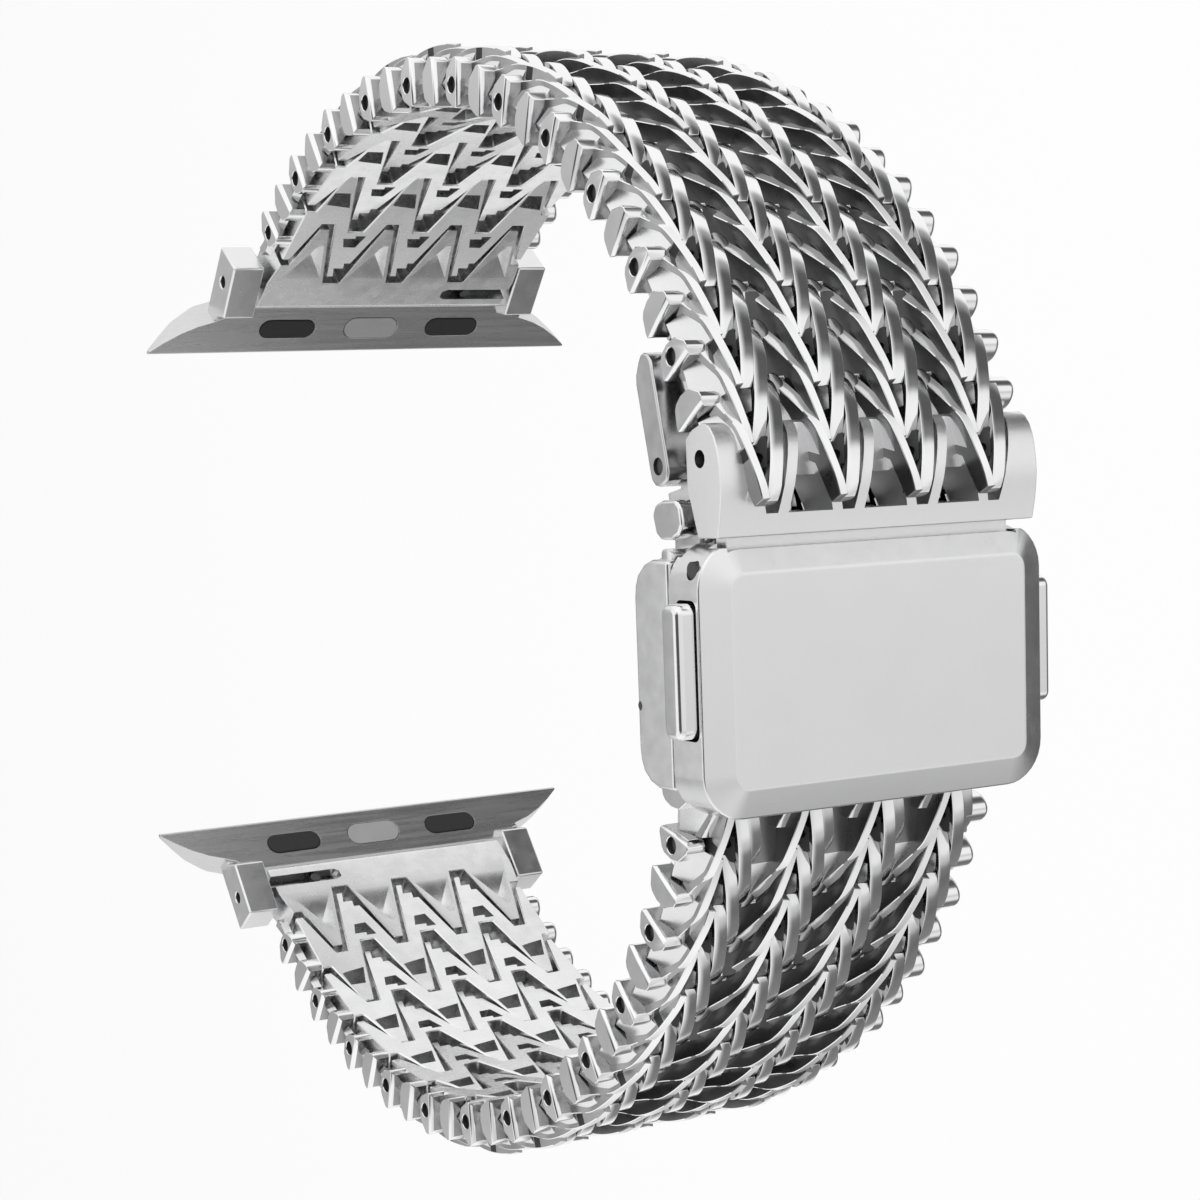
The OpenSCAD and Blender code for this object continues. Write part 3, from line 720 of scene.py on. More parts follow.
def link_layout(reach=None, trim=0.0, squash=1.0):
    """A chevron link laid flat, with its hinge at the origin and the chain along u.

    A reach cuts back its left arms, a trim its second row and its prongs, and a squash lowers its arms.
    """
    whole = bmesh.new()
    plate = prism(rear_outline() + front_outline(PITCH, NOTCH_BACK), PLATE_IN, PLATE_OUT)
    round_edges(plate, 0.08, steps=1)
    cutters = []
    for k in range(COLUMNS):
        cutters.append(pocket(TOOTH_WINDOW, PITCH + TIP_OVER, k))
        if k < COLUMNS - 1:
            cutters += [pocket(PRONG_WINDOW, 0, k), pocket(PRONG_NOTCH, 0, k)]
    if trim:
        cutters.append(bar([(-3.8, -0.3), (-1.5, PLATE_OUT), (-1.5, 2), (-3.8, 2)], *ALL_ACROSS))
    join(whole, carve(plate, *cutters), SATIN)
    for at in (0, HALF_PITCH):
        join(whole, near_knuckle(at, at == 0), POLISHED)
        join(whole, far_knuckle(at), POLISHED)
    pin_end = HALF_WIDTH - mm(sizes().pin_recess)
    # The pin end gets the dark pin finish, painted shade for its place deep in its hole
    join(whole, rod((0, 0), PIN_RADIUS, pin_end - 0.4, pin_end), PIN_SHADE)
    for (tip, length), back, bored in ((FIRST_ROW, 0, False), (SECOND_ROW, trim, True)):
        tip, length = tip - back, length - back
        join(whole, neck(tip, length), SATIN)
        for k in range(COLUMNS):
            left_reach = reach or (length if k else NEAR_REACH)
            join_chevron(whole, tip, k, length, left_reach, length, bored)
            if k > 0 and not reach:
                # The lobes get the mid grey wall finish, which is painted shade
                join(whole, arm_lobe(tip, k), WALL_SHADE)
    for vert in whole.verts:
        if squash < 1 and vert.co.y > SQUASH_FROM and vert.co.z < 9.7:
            vert.co.y = SQUASH_FROM + (vert.co.y - SQUASH_FROM) * squash
    paint_link(whole)
    return mesh_of("link_layout", whole)


def paint_link(whole):
    """Paints shade on a link: the outer floor and the pocket floors get the dark recess shade, the faces of
    the near knuckles that face along the chain the wall shade, and the bores painted shadow.
    """
    for face in whole.faces:
        spot = face.calc_center_median()
        if face.material_index == SATIN:
            floor = abs(spot.y - PLATE_OUT) < 0.03 and face.normal.y > 0.95
            pocketed = PLATE_IN + 0.05 < spot.y < PLATE_OUT - 0.12 and abs(face.normal.y) > 0.95
            if floor or pocketed:
                face.material_index = RECESS_SHADE
        elif face.material_index == POLISHED and spot.z > NEAR_EDGE:
            if in_bore(face, (0, 0), PIN_RADIUS):
                face.material_index = BORE
            elif face.normal.x > 0.9:
                face.material_index = WALL_SHADE
        if spot.z < 9.5 and face.material_index in (POLISHED, WALL_SHADE):
            if min(math.dist((spot.x, spot.y), place) for place in (ARM_BORE, WEB_BORE)) < SHOWN_BORE + 0.01:
                face.material_index = BORE


# End links and adapters


def end_link_layout(side):
    """The link that carries the spring bar, laid flat with the spring bar at the origin."""
    whole = bmesh.new()
    half = 10.2
    plate = prism([(-1.6, half), (-1.6, -half), (1.35, -half)] + front_outline(END_LENGTH, END_NOTCH)
                  + [(1.35, half)], PLATE_IN, -PLATE_IN)
    bevel(plate, edges_where(plate, lambda co: co.x < -1.55), 0.45, 4)
    round_edges(plate, 0.09, steps=2)
    slot = prism([(-0.55, side * 10.6), (0.55, side * 10.6), (0.55, side * 4.9), (0.3, side * 4.5),
                  (-0.3, side * 4.5), (-0.55, side * 4.9)], PLATE_IN - 0.2, -0.05)
    tip = END_LENGTH + TIP_OVER
    join(whole, carve(plate, slot, *[pyramid(tip, k) for k in range(COLUMNS)]), SATIN)
    shift = END_LENGTH - PITCH
    for (row, length), reach in ((FIRST_ROW, 6.2), (SECOND_ROW, 7.9)):
        for k in range(COLUMNS):
            join_chevron(whole, row + shift, k, length, reach if k else min(reach, NEAR_REACH), reach)
    join(whole, neck(SECOND_ROW[0] + shift, SECOND_ROW[1]), SATIN)
    return mesh_of("end_link_layout", whole)


def pyramid(tip, k):
    """The faceted recess in a tooth of the end link."""
    solid = bmesh.new()
    middle = column(k)
    corners = [(-5.35, -1.6), (-5.35, 1.4), (-1.75, 0.55), (-1.75, 0.15)]
    ring = [solid.verts.new((tip + u, PLATE_IN - 0.001, across(middle + v))) for u, v in corners]
    solid.faces.new(ring)
    peak = solid.verts.new((tip - 3.5, PLATE_IN + 1.1, across(middle + 0.3)))
    for a, b in zip(ring, ring[1:] + ring[:1]):
        solid.faces.new([a, b, peak])
    bmesh.ops.recalc_face_normals(solid, faces=solid.faces[:])
    return solid


# One end of the outline of an adapter, in u and z, and the slopes of its ends, in z and w
ADAPTER_END = [(-6.3, 17.5), (-6.0, 17.5), (-5.2, 16.5), (-4.4, 15.3), (-3.8, 14.1), (-3.4, 12.9),
               (-3.1, 12.1), (-2.2, 11.2)]
END_SLOPE = [(17.7, 0.05), (15.6, 1.5), (13.6, 2.27)]
ADAPTER_LOW, ADAPTER_HIGH = -0.15, 2.25
# Places of the pads along z; the pill latch lies between them
PAD_PLACES = (-6.9, 6.9)
PILL_U = -4.1
PILL_LENGTH = 4.4
PAD_WIDTH, LATCH_WIDTH = 1.55, 1.8
WELL_GAP = 0.1


def adapter_layout():
    """A watch adapter laid flat, with the spring bar at the origin and the watch towards -u."""
    outline = ADAPTER_END + [(u, -z) for u, z in reversed(ADAPTER_END)]
    front = bar([(-6.6, 1.0), (-6.3, 0.95), (-5.4, 2.25), (-5.4, 2.6), (-6.6, 2.6)], -18, 18)
    ends = [sloped_end(side, low, high) for side in (1, -1) for low, high in zip(END_SLOPE, END_SLOPE[1:])]
    plate = carve(prism(outline, ADAPTER_LOW, ADAPTER_HIGH), front, *ends)
    bevel(plate, edges_where(plate, lambda co: co.x < -6.2 and co.y < 0), 0.34, 3)
    wells = [well(z, width, deep) for z, width, deep in (
        (PAD_PLACES[0], PAD_WIDTH, 0.45), (0, LATCH_WIDTH, 1.0), (PAD_PLACES[1], PAD_WIDTH, 0.45))]
    whole = bmesh.new()
    join(whole, round_edges(carve(plate, *wells), 0.12, steps=3), MAIN)
    for z0, z1 in ((10.5, 12.9), (-12.9, -10.5)):
        ear = bar([(-2.9, -0.1), (-2.2, -1.4), (2.1, -1.4), (2.1, 1.4), (-3.7, 1.4), (-3.7, 0.15)], z0, z1)
        ear = carve(ear, rod((0, 0), BAR_HOLE, z0 - 1, z1 + 1))
        join(whole, round_edges(ear, 0.16, steps=3), SECOND)
    paint_bore(whole, (0, 0), BAR_HOLE, THIRD)
    return mesh_of("adapter_layout", whole)


def sloped_end(side, low, high):
    """The wedge that is taken off an end of an adapter; low and high are (z, w)."""
    (z0, w0), (z1, w1) = low, high
    far = (z0 + 2 * (z0 - z1), w0 - 2 * (w1 - w0))
    near = (z1 - 2 * (z0 - z1), w1 + 2 * (w1 - w0))
    corners = [far, near, (near[0] + 3, near[1] + 6), (far[0] + 6, far[1] + 6)]
    return block([(-8, w, side * z) for z, w in corners], (6.5, 0, 0))


def pill(z, length, width, low, high):
    """A flat pill in the adapter, with two round ends and straight sides."""
    solid = bmesh.new()
    made = bmesh.ops.create_circle(solid, cap_ends=True, segments=32, radius=width / 2)
    turn(solid, 90, "X")
    for vert in made["verts"]:
        vert.co.z += math.copysign((length - width) / 2, vert.co.z)
    move(solid, (PILL_U, low, z))
    grow(solid, (0, high - low, 0))
    return solid


def well(z, width, deep):
    """The cutter of the well of a pad or of the latch."""
    return pill(z, PILL_LENGTH + WELL_GAP, width + WELL_GAP, ADAPTER_LOW - 0.15, deep)


def pads_layout():
    """The two rubber pads of an adapter."""
    whole = bmesh.new()
    for z in PAD_PLACES:
        join(whole, round_edges(pill(z, PILL_LENGTH, PAD_WIDTH, -0.22, 0.44), 0.1, steps=3), MAIN)
    return mesh_of("pads_layout", whole)


def latch_layout():
    """The pill latch of an adapter."""
    latch = pill(0, PILL_LENGTH, LATCH_WIDTH, -0.2, 0.44)
    return mesh_of("latch_layout", round_edges(latch, 0.05, steps=2))


# Clasp

# Sizes and places of the clasp, in millimetres, laid out as in the solids
HINGE = Vector((25.75, 20, 0))
HINGE_HOLE = 0.52
PART_X = 23.6
COVER_TOP_X = 27.3
COVER_LOW, COVER_HIGH = 6.1, 21.5
COVER_HALF = 12.0
COVER_CORNER = 2.6
FACE_IN, FACE_SIDE = 0.7, 1.75
BASE_X = 19.8
BASE_LOW, BASE_HIGH = 7.6, 20.5
BUTTON = ((24.4, 26.2), (10.75, 18.25), 13.15)
BUTTON_GAP = 0.14
LOCK_PIN = (BASE_X + 0.25, 12.2)
LOCK_HOLE = 0.28
BAND_ROOM = (-11.3, 11.3)
SEAM_U = 4.3
FORK_LENGTH = 6.0
FORK_HALF = 9.8
FORK_FRONT = 3.1
FORK_STRIP = 0.68
TAIL_HALF = 8.9
TAIL_LENGTH = 6.4
TAIL_DIRECTION = 104


def clasp_place():
    """From the layout of the clasp, in millimetres, to its place, in metres."""
    return upper_place(joint_place("fork_turn") - HINGE, 0)


def button_block(gap, low, high, radius):
    """A block along z over the outline of a side button, wider by a gap."""
    (x0, x1), (y0, y1), _ = BUTTON
    outline = rectangle(x0 - gap, x1 + gap, y0 - gap, y1 + gap)
    return rounded_block([(x, y, low) for x, y in outline], (0, 0, high - low), radius, 5)


def cover_layout():
    """The cover: a rounded plate with a sloping rim, hollow where the band passes."""
    outline = rectangle(COVER_LOW, COVER_HIGH, -COVER_HALF, COVER_HALF)
    step = (COVER_TOP_X - FACE_IN - PART_X, 0, 0)
    shell = rounded_block([(PART_X, y, z) for y, z in outline], step, COVER_CORNER, 8)
    face = [f for f in shell.faces if f.normal.x > 0.9]
    bmesh.ops.inset_region(shell, faces=face, thickness=FACE_SIDE, depth=FACE_IN, use_even_offset=True)
    rim = [e for e in edges_where(shell, lambda co: abs(co.x - PART_X) > 0.1)
           if abs(e.calc_face_angle(0)) > math.radians(15)]
    bevel(shell, rim, 0.12, 3)
    cutters = [
        # the room for the band and its edges
        box(22, 24.9, 5, 23, -10, 10),
        box(22, 24.0, 5, 23, *BAND_ROOM),
        # the room for the knuckle of the fork, the step above it and its hinge
        box(22, 26.78, 18.75, 23, -10.1, 10.1),
        box(HINGE.x, 29, COVER_HIGH - 0.35, 23, -11.1, 11.1),
        rod(HINGE, HINGE_HOLE, -14, 14, sides=28),
        # the wells of the two buttons
        button_block(BUTTON_GAP, 10.2, 14, 0.5),
        button_block(BUTTON_GAP, -14, -10.2, 0.5),
    ]
    whole = bmesh.new()
    join(whole, carve(shell, *cutters), MAIN)
    (x0, x1), (y0, y1), _ = BUTTON
    for part in whole.faces:
        spot = part.calc_center_median()
        beside = x0 - 0.2 < spot.x < x1 + 0.2 and y0 - 0.2 < spot.y < y1 + 0.2
        # The top face gets the second finish; the walls of the button wells get the bore finish as painted
        # shadow
        if spot.x > COVER_TOP_X - 0.02:
            part.material_index = SECOND
        elif beside and 10.1 < abs(spot.z) < COVER_HALF - 0.01:
            part.material_index = THIRD
    paint_bore(whole, HINGE, HINGE_HOLE, THIRD)
    return mesh_of("cover_layout", whole)


def button_layout(side):
    """A side button with wide rounded edges."""
    out = BUTTON[2]
    low, high = (11.42, out) if side > 0 else (-out, -11.42)
    cap = button_block(0, low, high, 0.62)
    return mesh_of("button_layout", bevel(cap, edges_where(cap, lambda co: abs(co.z) > out - 0.01), 0.42, 5))


# How far a rounded edge of the base lies inside its corner, in x and y
BASE_CORNER = [(1.9, 0), (1.05, 0.3), (0.4, 0.85), (0.1, 1.5), (0, 2.2)]


def base_layout():
    """The base: a tray with rounded ends around the lower half."""
    outline = [(PART_X - 0.1, BASE_LOW), (PART_X - 0.1, BASE_HIGH)]
    outline += [(BASE_X + x, BASE_HIGH - y) for x, y in BASE_CORNER]
    outline += [(BASE_X + x, BASE_LOW + y) for x, y in reversed(BASE_CORNER)]
    shell = round_edges(bar(outline, 0.05 - COVER_HALF, COVER_HALF - 0.05), 0.25, steps=3, sharp=60)
    cutters = [
        # the room for the band, and its ways in and out
        box(BASE_X + 0.5, 25, 5, 23, *BAND_ROOM),
        box(18, 21.8, BASE_LOW - 1, BASE_LOW + 3.2, *BAND_ROOM),
        box(18, 21.8, BASE_HIGH - 1.5, BASE_HIGH + 1.5, *BAND_ROOM),
        # the window of the length lock and the hole of its pin
        box(18, 21.8, 11.45, 17.6, -8.15, 8.15),
        rod(LOCK_PIN, LOCK_HOLE, -13, 13, sides=20),
    ]
    whole = bmesh.new()
    join(whole, carve(shell, *cutters), MAIN)
    paint_bore(whole, LOCK_PIN, LOCK_HOLE, THIRD)
    lug = [(22.3, 20.3), (23.4, 20.3), (23.4, 20.85), (23.1, 21.1), (22.5, 21.1), (22.3, 20.9)]
    join(whole, round_edges(bar(lug, 9.6, 11.6), 0.1, steps=2), MAIN)
    return mesh_of("base_layout", whole)


def fork_opening(back, low, high, near, far):
    """An opening of the fork between two slanting lines, each of which gives z at a place u."""
    corners = [(back, near(back)), (FORK_FRONT, near(FORK_FRONT)),
               (FORK_FRONT, far(FORK_FRONT)), (back, far(back))]
    return prism(corners, low, high)


def fork_layout():
    """The fork: a curved plate with prongs around the teeth of the last link."""
    profile = [(-1.1, -1.4), (-1.6, -0.7), (-1.9, 0.2), (-1.9, 0.65), (-1.65, 1.05), (-1.2, 1.42),
               (-0.6, 1.68), (0, 1.83), (0.8, 1.95), (1.6, 1.99), (2.5, 1.9), (3.4, 1.73), (SEAM_U, 1.5),
               (SEAM_U, -0.5), (1.6, -1.4)]
    plate = round_edges(bar(profile, -HALF_WIDTH, HALF_WIDTH), 0.1, steps=2, sharp=50)
    cutters = [rod((0, 0), PIN_RADIUS, *ALL_ACROSS, sides=28)]
    strip_gap = PRONG_GAP + FORK_STRIP
    for k in range(COLUMNS):
        cutters.append(fork_opening(-2.4, -2, 3, lambda u: tooth_left(u, TIP_OVER, k, PRONG_GAP),
                                    lambda u: tooth_right(u, TIP_OVER, k, PRONG_GAP)))
        if k < COLUMNS - 1:
            for back, low in ((1.1, -2), (-2.6, 0.85)):
                cutters.append(fork_opening(back, low, 3, lambda u: tooth_right(u, TIP_OVER, k, strip_gap),
                                            lambda u: tooth_left(u, TIP_OVER, k + 1, strip_gap)))
    whole = bmesh.new()
    join(whole, carve(plate, *cutters), MAIN)
    barrel = rod((FORK_LENGTH, 0), 0.95, -FORK_HALF, FORK_HALF, sides=32)
    join(whole, box(SEAM_U - 0.05, FORK_LENGTH, -0.5, 0.5, -FORK_HALF, FORK_HALF), MAIN)
    join(whole, round_edges(barrel, 0.1, steps=2, sharp=50), MAIN)
    join(whole, rod((0, 0), PIN_RADIUS, -10.4, 10.4), SECOND)
    paint_bore(whole, (0, 0), PIN_RADIUS, SECOND)
    return mesh_of("fork_layout", whole)


def tail_plate_layout():
    """The plain end plate, with rounded ends and a pin through its ears."""
    profile = [(-1.1, 0.25), (-1.1, -0.25), (-0.95, -0.65), (-0.6, -0.9), (-0.2, -0.95), (4.9, -0.95),
               (5.4, -0.82), (6.1, -0.3), (6.36, 0.0), (TAIL_LENGTH, 0.3), (6.2, 0.7), (5.8, 0.92),
               (5.4, 0.95), (-0.2, 0.95), (-0.6, 0.9), (-0.95, 0.65)]
    plate = round_edges(bar(profile, -HALF_WIDTH, HALF_WIDTH), 0.14, steps=3, sharp=60)
    link_room = box(-3, 1.7, -2, 2, -TAIL_HALF - 0.3, TAIL_HALF + 0.3)
    whole = bmesh.new()
    join(whole, carve(plate, rod((0, 0), PIN_RADIUS, *ALL_ACROSS, sides=28), link_room), MAIN)
    paint_bore(whole, (0, 0), PIN_RADIUS, SECOND)
    pin_end = HALF_WIDTH - mm(sizes().pin_recess) * 0.5
    join(whole, rod((0, 0), PIN_RADIUS, -pin_end, pin_end), THIRD)
    return mesh_of("tail_plate_layout", whole)


def tail_link_layout():
    """The half length last link."""
    whole = bmesh.new()
    front = [(1.77, FAR_EDGE), (1.77, -TAIL_HALF), (3.87, -TAIL_HALF), (3.87, TAIL_HALF),
             (1.77, TAIL_HALF), (1.77, NEAR_EDGE)]
    plate = prism(rear_outline() + front, PLATE_IN, PLATE_OUT)
    plate = carve(plate, rod((HALF_PITCH, 0), 0.53, *ALL_ACROSS))
    join(whole, round_edges(plate, 0.07, steps=2, sharp=40), SATIN)
    end = bar([(-1.15, 0.3), (-0.9, -0.9), (-0.5, -1.3), (0.6, -1.4), (1.1, -1.0), (1.2, -0.2), (0.95, 1.2),
               (0.5, 1.58), (-0.5, 1.58), (-1.0, 1.1)], 9.3, HALF_WIDTH)
    join(whole, round_edges(end, 0.22, steps=3), POLISHED)
    join(whole, far_knuckle(0), POLISHED)
    return mesh_of("tail_link_layout", whole)


# Operators


def link_joint(half, i):
    """The hinge before link i, counted from the adapter."""
    if half == "lower" and i >= 14:
        return joint_place(f"tail_hinge_{i}")
    return joint_place(f"{half}_hinge_{i:02d}")


class BAND_OT_links(bpy.types.Operator):
    """Builds the chevron links of both halves"""

    bl_idname = "band.links"
    bl_label = "Chevron links"

    def execute(self, context):
        plain = link_layout()
        under_cover = link_layout(CLASP_REACH, CLASP_TRIM)
        under_fork = link_layout(CLASP_REACH, CLASP_TRIM, FORK_SQUASH)
        beside_clasp = {
            "lower_link_12": under_cover, "lower_link_13": under_cover, "lower_link_14": under_fork}
        materials = link_finishes()
        for half, put in (("upper", upper_place), ("lower", lower_place)):
            joints = [link_joint(half, i) for i in range(1, LINK_COUNT[half] + 2)]
            for i, (start, end) in enumerate(zip(joints, joints[1:]), 1):
                name = f"{half}_link_{i:02d}"
                body = "clasp_base" if name == "lower_link_13" else name
                put_copy(f"{half}_chevron_link_{i:02d}", beside_clasp.get(name, plain),
                         put(start, direction(start, end)), body, name, "link_steel", materials)
        for layout in (plain, under_cover, under_fork):
            bpy.data.meshes.remove(layout)
        return {"FINISHED"}


class BAND_OT_end_links(bpy.types.Operator):
    """Builds the two end links with their release slots"""

    bl_idname = "band.end_links"
    bl_label = "End links"

    def execute(self, context):
        for half, put, side in (("upper", upper_place, -1), ("lower", lower_place, 1)):
            start = joint_place(f"{half}_adapter_turn")
            place = put(start, direction(start, joint_place(f"{half}_hinge_01")))
            put_piece(f"{half}_bar_link", end_link_layout(side), place, f"{half}_end", f"{half}_end_link",
                      "link_steel", link_finishes())
        return {"FINISHED"}


class BAND_OT_adapters(bpy.types.Operator):
    """Builds the two watch adapters with their pads and latches"""

    bl_idname = "band.adapters"
    bl_label = "Watch adapters"

    def execute(self, context):
        made = finishes()
        for half, put, side in (("upper", upper_place, 1), ("lower", lower_place, -1)):
            press = Vector(JOINTS[f"{half}_latch_press"]["axis"])
            degrees = math.degrees(math.atan2(-side * press.x, side * press.y))
            place = put(joint_place(f"{half}_adapter_turn"), degrees)
            body = f"{half}_adapter"
            put_piece(f"{half}_watch_adapter", adapter_layout(), place, body, f"{half}_adapter",
                      "adapter_steel", [made["adapter"], made["clasp"], made["bore"]])
            put_piece(f"{half}_rubber_pads", pads_layout(), place, body, f"{half}_adapter_pads",
                      "pad_rubber", [made["rubber"]])
            put_piece(f"{half}_pill_latch", latch_layout(), place, f"{half}_latch", f"{half}_adapter_latch",
                      "latch_metal", [made["latch"]])
        return {"FINISHED"}


class BAND_OT_clasp(bpy.types.Operator):
    """Builds the clasp cover, its base, the buttons and the fork"""

    bl_idname = "band.clasp"
    bl_label = "Magnetic clasp"

    def execute(self, context):
        made = finishes()
        steel = [made["clasp"], made["clasp_face"], made["bore"]]
        place = clasp_place()
        put_piece("clasp_cover_shell", cover_layout(), place, "clasp_cover", "cover", "clasp_steel", steel)
        put_piece("clasp_base_tray", base_layout(), place, "clasp_base", "base", "clasp_steel", steel)
        for name, side in (("button_near", 1), ("button_far", -1)):
            put_piece(f"{name}_cap", button_layout(side), place, name, name, "clasp_steel",
                      [made["polished"]])
        start, end = joint_place("upper_hinge_12"), joint_place("fork_turn")
        put_piece("fork_plate", fork_layout(), upper_place(start, direction(start, end)), "fork", "fork",
                  "clasp_steel", [made["clasp_face"], made["pin"]])
        return {"FINISHED"}


class BAND_OT_tail(bpy.types.Operator):
    """Builds the half link and the end plate of the lower half"""

    bl_idname = "band.tail"
    bl_label = "Tail"

    def execute(self, context):
        made = finishes()
        start, end = joint_place("tail_hinge_15"), joint_place("tail_plate_turn")
        put_piece("tail_half_link", tail_link_layout(), lower_place(start, direction(start, end)),
                  "tail_link", "tail_link", "link_steel", link_finishes())
        put_piece("tail_end_plate", tail_plate_layout(), lower_place(end, TAIL_DIRECTION),
                  "tail_plate", "tail_plate", "link_steel", [made["tail"], made["bore"], made["pin"]])
        return {"FINISHED"}


# What a word in the name of a piece that stays as a solid says of its finish
# The pin finish is darkened with painted shade
HIDDEN_FINISHES = (("spring", "spring"), ("magnet", "magnet"), ("pin", "pin"), ("knob", "pin"))


class BAND_OT_hidden_parts(bpy.types.Operator):
    """Gives the pins, springs and small parts that stay as solids their finishes"""

    bl_idname = "band.hidden_parts"
    bl_label = "Pins, springs and magnet"

    def execute(self, context):
        made = finishes()
        for name, part in frame["nodes"].items():
            if not part.hide_render:
                kind = next((key for word, key in HIDDEN_FINISHES if word in name), "clasp")
                part.data.materials.clear()
                part.data.materials.append(made[kind])
        return {"FINISHED"}


class BAND_OT_stage(bpy.types.Operator):
    """Sets the floor, the reflector tent, the lamps and the camera"""

    bl_idname = "band.stage"
    bl_label = "Stage"

    def execute(self, context):
        floor_colour = (*context.scene.band_colours.floor, 1)
        white_floor(floor_colour)
        white_world(floor_colour)
        reflector_tent()
        lamps()
        photo_camera()
        return {"FINISHED"}


# Stage


def seen_rays(tree, *kinds):
    """A value that is 1 for rays of these kinds, and 0 for others."""
    rays = node(tree, "ShaderNodeLightPath").outputs
    seen = rays[kinds[0]]
    for kind in kinds[1:]:
        seen = node(tree, "ShaderNodeMath", {0: seen, 1: rays[kind]}, operation="MAXIMUM").outputs[0]
    return seen


# Height of the floor, and how much of it the camera and the gloss see as plain white
FLOOR_HEIGHT = -0.25
FLOOR_GLOW = 0.85


def white_floor(colour):
    """A floor far below, which the camera and the gloss see as almost plain white."""
    solid = bmesh.new()
    bmesh.ops.create_grid(solid, x_segments=8, y_segments=8, size=3.0)
    floor = add_object("floor", mesh_of("floor", move(solid, (0, 0, FLOOR_HEIGHT))))
    material = bpy.data.materials.new("floor_paint")
    material.use_nodes = True
    tree = material.node_tree
    paint = tree.nodes["Principled BSDF"]
    fill(tree, paint, {"Base Color": (0.9, 0.9, 0.9, 1), "Roughness": 0.9})
    white = node(tree, "ShaderNodeEmission", {"Color": colour})
    share = node(tree, "ShaderNodeMath", {
        0: seen_rays(tree, "Is Camera Ray", "Is Glossy Ray"), 1: FLOOR_GLOW}, operation="MULTIPLY")
    both = node(tree, "ShaderNodeMixShader", {
        "Fac": share.outputs[0], 1: paint.outputs["BSDF"], 2: white.outputs["Emission"]})
    fill(tree, tree.nodes["Material Output"], {"Surface": both.outputs["Shader"]})
    floor.data.materials.append(material)


def white_world(colour):
    """A white room, a little darker as a light than it looks."""
    world = bpy.data.worlds.new("white_room")
    world.use_nodes = True
    tree = world.node_tree
    seen = seen_rays(tree, "Is Camera Ray", "Is Glossy Ray", "Is Transmission Ray")
    level = node(tree, "ShaderNodeMapRange", {"Value": seen, "To Min": 0.75, "To Max": 1.0})
    fill(tree, tree.nodes["Background"], {"Color": colour, "Strength": level.outputs["Result"]})
    bpy.context.scene.world = world


# Brightness of the tent around the band, by the angle about the hinge direction, in degrees
LOW_RING = [(-180, 0.7), (-165, 0.85), (-146, 0.95), (-132, 0.95), (-122, 0.6), (-113, 0.22), (-87, 0.19),
            (-70, 0.15), (-58, 0.18), (-46, 0.55), (-36, 0.85), (-20, 0.8), (-10, 0.64), (-3, 0.72),
            (5, 0.92), (22, 0.94), (34, 0.9), (46, 0.2), (60, 0.1), (80, 0.1), (92, 0.35), (102, 1.0),
            (150, 1.0), (162, 0.9), (172, 0.4), (180, 0.7)]
HIGH_RING = [(-180, 0.36), (-160, 0.36), (-140, 0.75), (-115, 1.0), (-70, 1.0), (-20, 0.65), (0, 0.8),
             (30, 1.0), (50, 1.0), (120, 1.0), (150, 0.8), (170, 0.45), (180, 0.36)]
TOP_RING = [(-180, 0.95), (-70, 0.9), (-40, 0.25), (-25, 0.08), (15, 0.08), (35, 0.5), (60, 0.95),
            (180, 0.95)]
FOOT_RING = [(-180, 0.5), (-90, 0.12), (40, 0.12), (120, 0.6), (180, 0.5)]
# The heights between which a ring takes over from the low one, as shares of the radius
RING_HEIGHTS = ((HIGH_RING, -0.45, -0.12), (TOP_RING, 0.62, 0.74), (FOOT_RING, -0.8, -0.9))
TENT_RADIUS = 0.24


def reflector_tent():
    """A tent of pale and dark cards around the band, which only its gloss sees."""
    solid = bmesh.new()
    bmesh.ops.create_uvsphere(solid, u_segments=48, v_segments=24, radius=TENT_RADIUS)
    bmesh.ops.reverse_faces(solid, faces=solid.faces[:])
    tent = add_object("reflector_tent", mesh_of("reflector_tent", solid))
    tent.visible_camera = False
    tent.visible_diffuse = False
    tent.visible_shadow = False
    tent.visible_transmission = False
    tent.data.materials.append(tent_cards())


def tent_cards():
    """The glow of the cards, by their angle about the hinge direction and by their height."""
    material = bpy.data.materials.new("tent_cards")
    material.use_nodes = True
    material.cycles.emission_sampling = "NONE"
    tree = material.node_tree
    tree.nodes.clear()
    place = node(tree, "ShaderNodeTexCoord").outputs["Object"]
    parts = node(tree, "ShaderNodeSeparateXYZ", {"Vector": place}).outputs
    angle = node(tree, "ShaderNodeMath", {0: parts["Y"], 1: parts["X"]}, operation="ARCTAN2")
    share = node(tree, "ShaderNodeMapRange", {
        "Value": angle.outputs[0], "From Min": -math.pi, "From Max": math.pi}).outputs["Result"]

    def ring(stops):
        return ramp(tree, share, [((degrees + 180) / 360, value) for degrees, value in stops], "EASE")

    cards = ring(LOW_RING)
    for stops, low, high in RING_HEIGHTS:
        height = node(tree, "ShaderNodeMapRange", {
            "Value": parts["Z"], "From Min": low * TENT_RADIUS, "From Max": high * TENT_RADIUS},
            interpolation_type="SMOOTHSTEP")
        blend = node(tree, "ShaderNodeMix", {
            "Factor": height.outputs["Result"], "A": cards, "B": ring(stops)}, data_type="RGBA")
        cards = blend.outputs["Result"]
    glow = node(tree, "ShaderNodeEmission", {"Color": cards})
    node(tree, "ShaderNodeOutputMaterial", {"Surface": glow.outputs["Emission"]})
    return material


def lamps():
    """Two large soft lamps that look at the band."""
    for name, place, power in (("key_lamp", (0.2, 0.45, 0.35), 1.6), ("fill_lamp", (-0.4, -0.2, 0.4), 0.8)):
        light = bpy.data.lights.new(name, "AREA")
        light.energy = power
        light.size = 0.5
        lamp = add_object(name, light)
        lamp.location = place
        lamp.rotation_euler = (-Vector(place)).to_track_quat("-Z", "Y").to_euler()


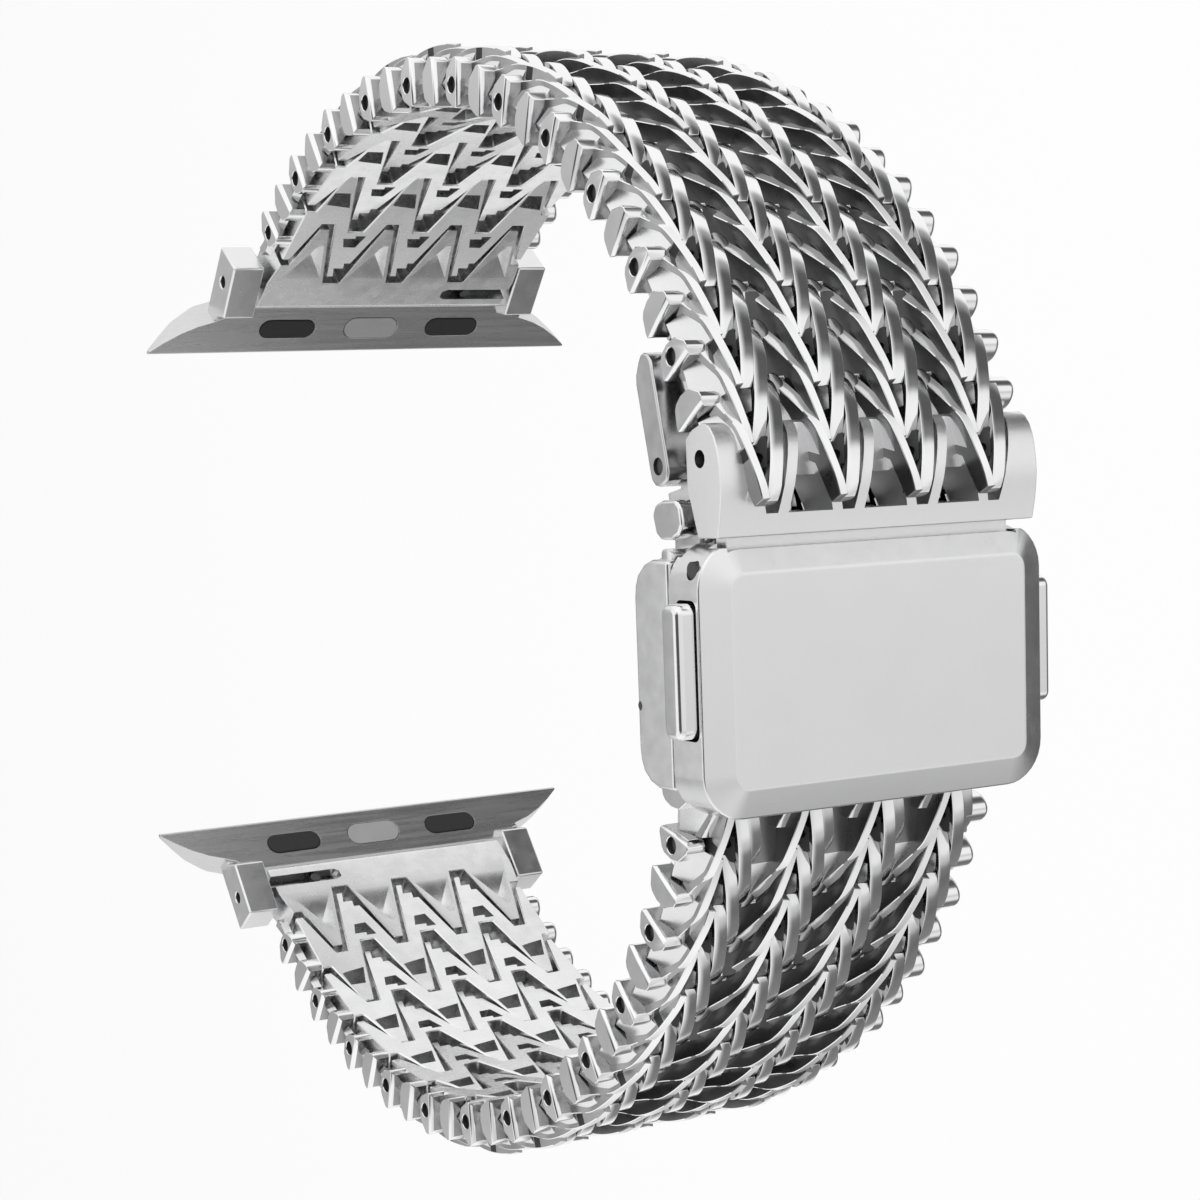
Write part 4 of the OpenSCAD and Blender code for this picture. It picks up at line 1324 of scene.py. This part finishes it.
# The camera of the photograph, found from marked points of the band; its place is in millimetres
CAMERA_RIGHT = Vector((0.5232, -0.0354, -0.8515))
CAMERA_BACK = Vector((0.8433, 0.1656, 0.5113))
CAMERA_PLACE = Vector((153.1245, 12.9006, 87.72))
CAMERA_LENS = 77.38
CAMERA_SHIFT = (-0.0349, 0.2079)


def photo_camera():
    """Looks at the band as the photograph does."""
    back = CAMERA_BACK.normalized()
    right = (CAMERA_RIGHT - back * CAMERA_RIGHT.dot(back)).normalized()
    facing = Matrix((right, back.cross(right), back)).transposed().to_4x4()
    data = bpy.data.cameras.new("photo_camera")
    data.sensor_width = 36
    data.lens = CAMERA_LENS
    data.shift_x, data.shift_y = CAMERA_SHIFT
    data.clip_start = 0.01
    camera = add_object("photo_camera", data)
    camera.matrix_world = Matrix.Translation(CAMERA_PLACE * MM) @ facing
    bpy.context.scene.camera = camera


# Panel and registration


class BAND_PT_panel(bpy.types.Panel):
    """The steps that dress the band, in order"""

    bl_label = "Watch Band"
    bl_space_type = "VIEW_3D"
    bl_region_type = "UI"
    bl_category = "Watch Band"

    def draw(self, context):
        rows = self.layout.column()
        for step in STEPS:
            rows.operator(step.bl_idname)
        for group in (context.scene.band_sizes, context.scene.band_colours):
            for key in group.__annotations__:
                rows.prop(group, key)


STEPS = (BAND_OT_stage, BAND_OT_links, BAND_OT_end_links, BAND_OT_adapters, BAND_OT_clasp, BAND_OT_tail,
         BAND_OT_hidden_parts)
CLASSES = (BandSizes, BandColours, *STEPS, BAND_PT_panel)


def register():
    for item in CLASSES:
        bpy.utils.register_class(item)
    bpy.types.Scene.band_sizes = PointerProperty(type=BandSizes)
    bpy.types.Scene.band_colours = PointerProperty(type=BandColours)


def unregister():
    del bpy.types.Scene.band_colours
    del bpy.types.Scene.band_sizes
    for item in reversed(CLASSES):
        bpy.utils.unregister_class(item)


def main():
    register()
    bpy.context.scene.view_settings.view_transform = "Standard"
    for step in STEPS:
        group, name = step.bl_idname.split(".")
        getattr(getattr(bpy.ops, group), name)()


if __name__ == "__main__":
    main()
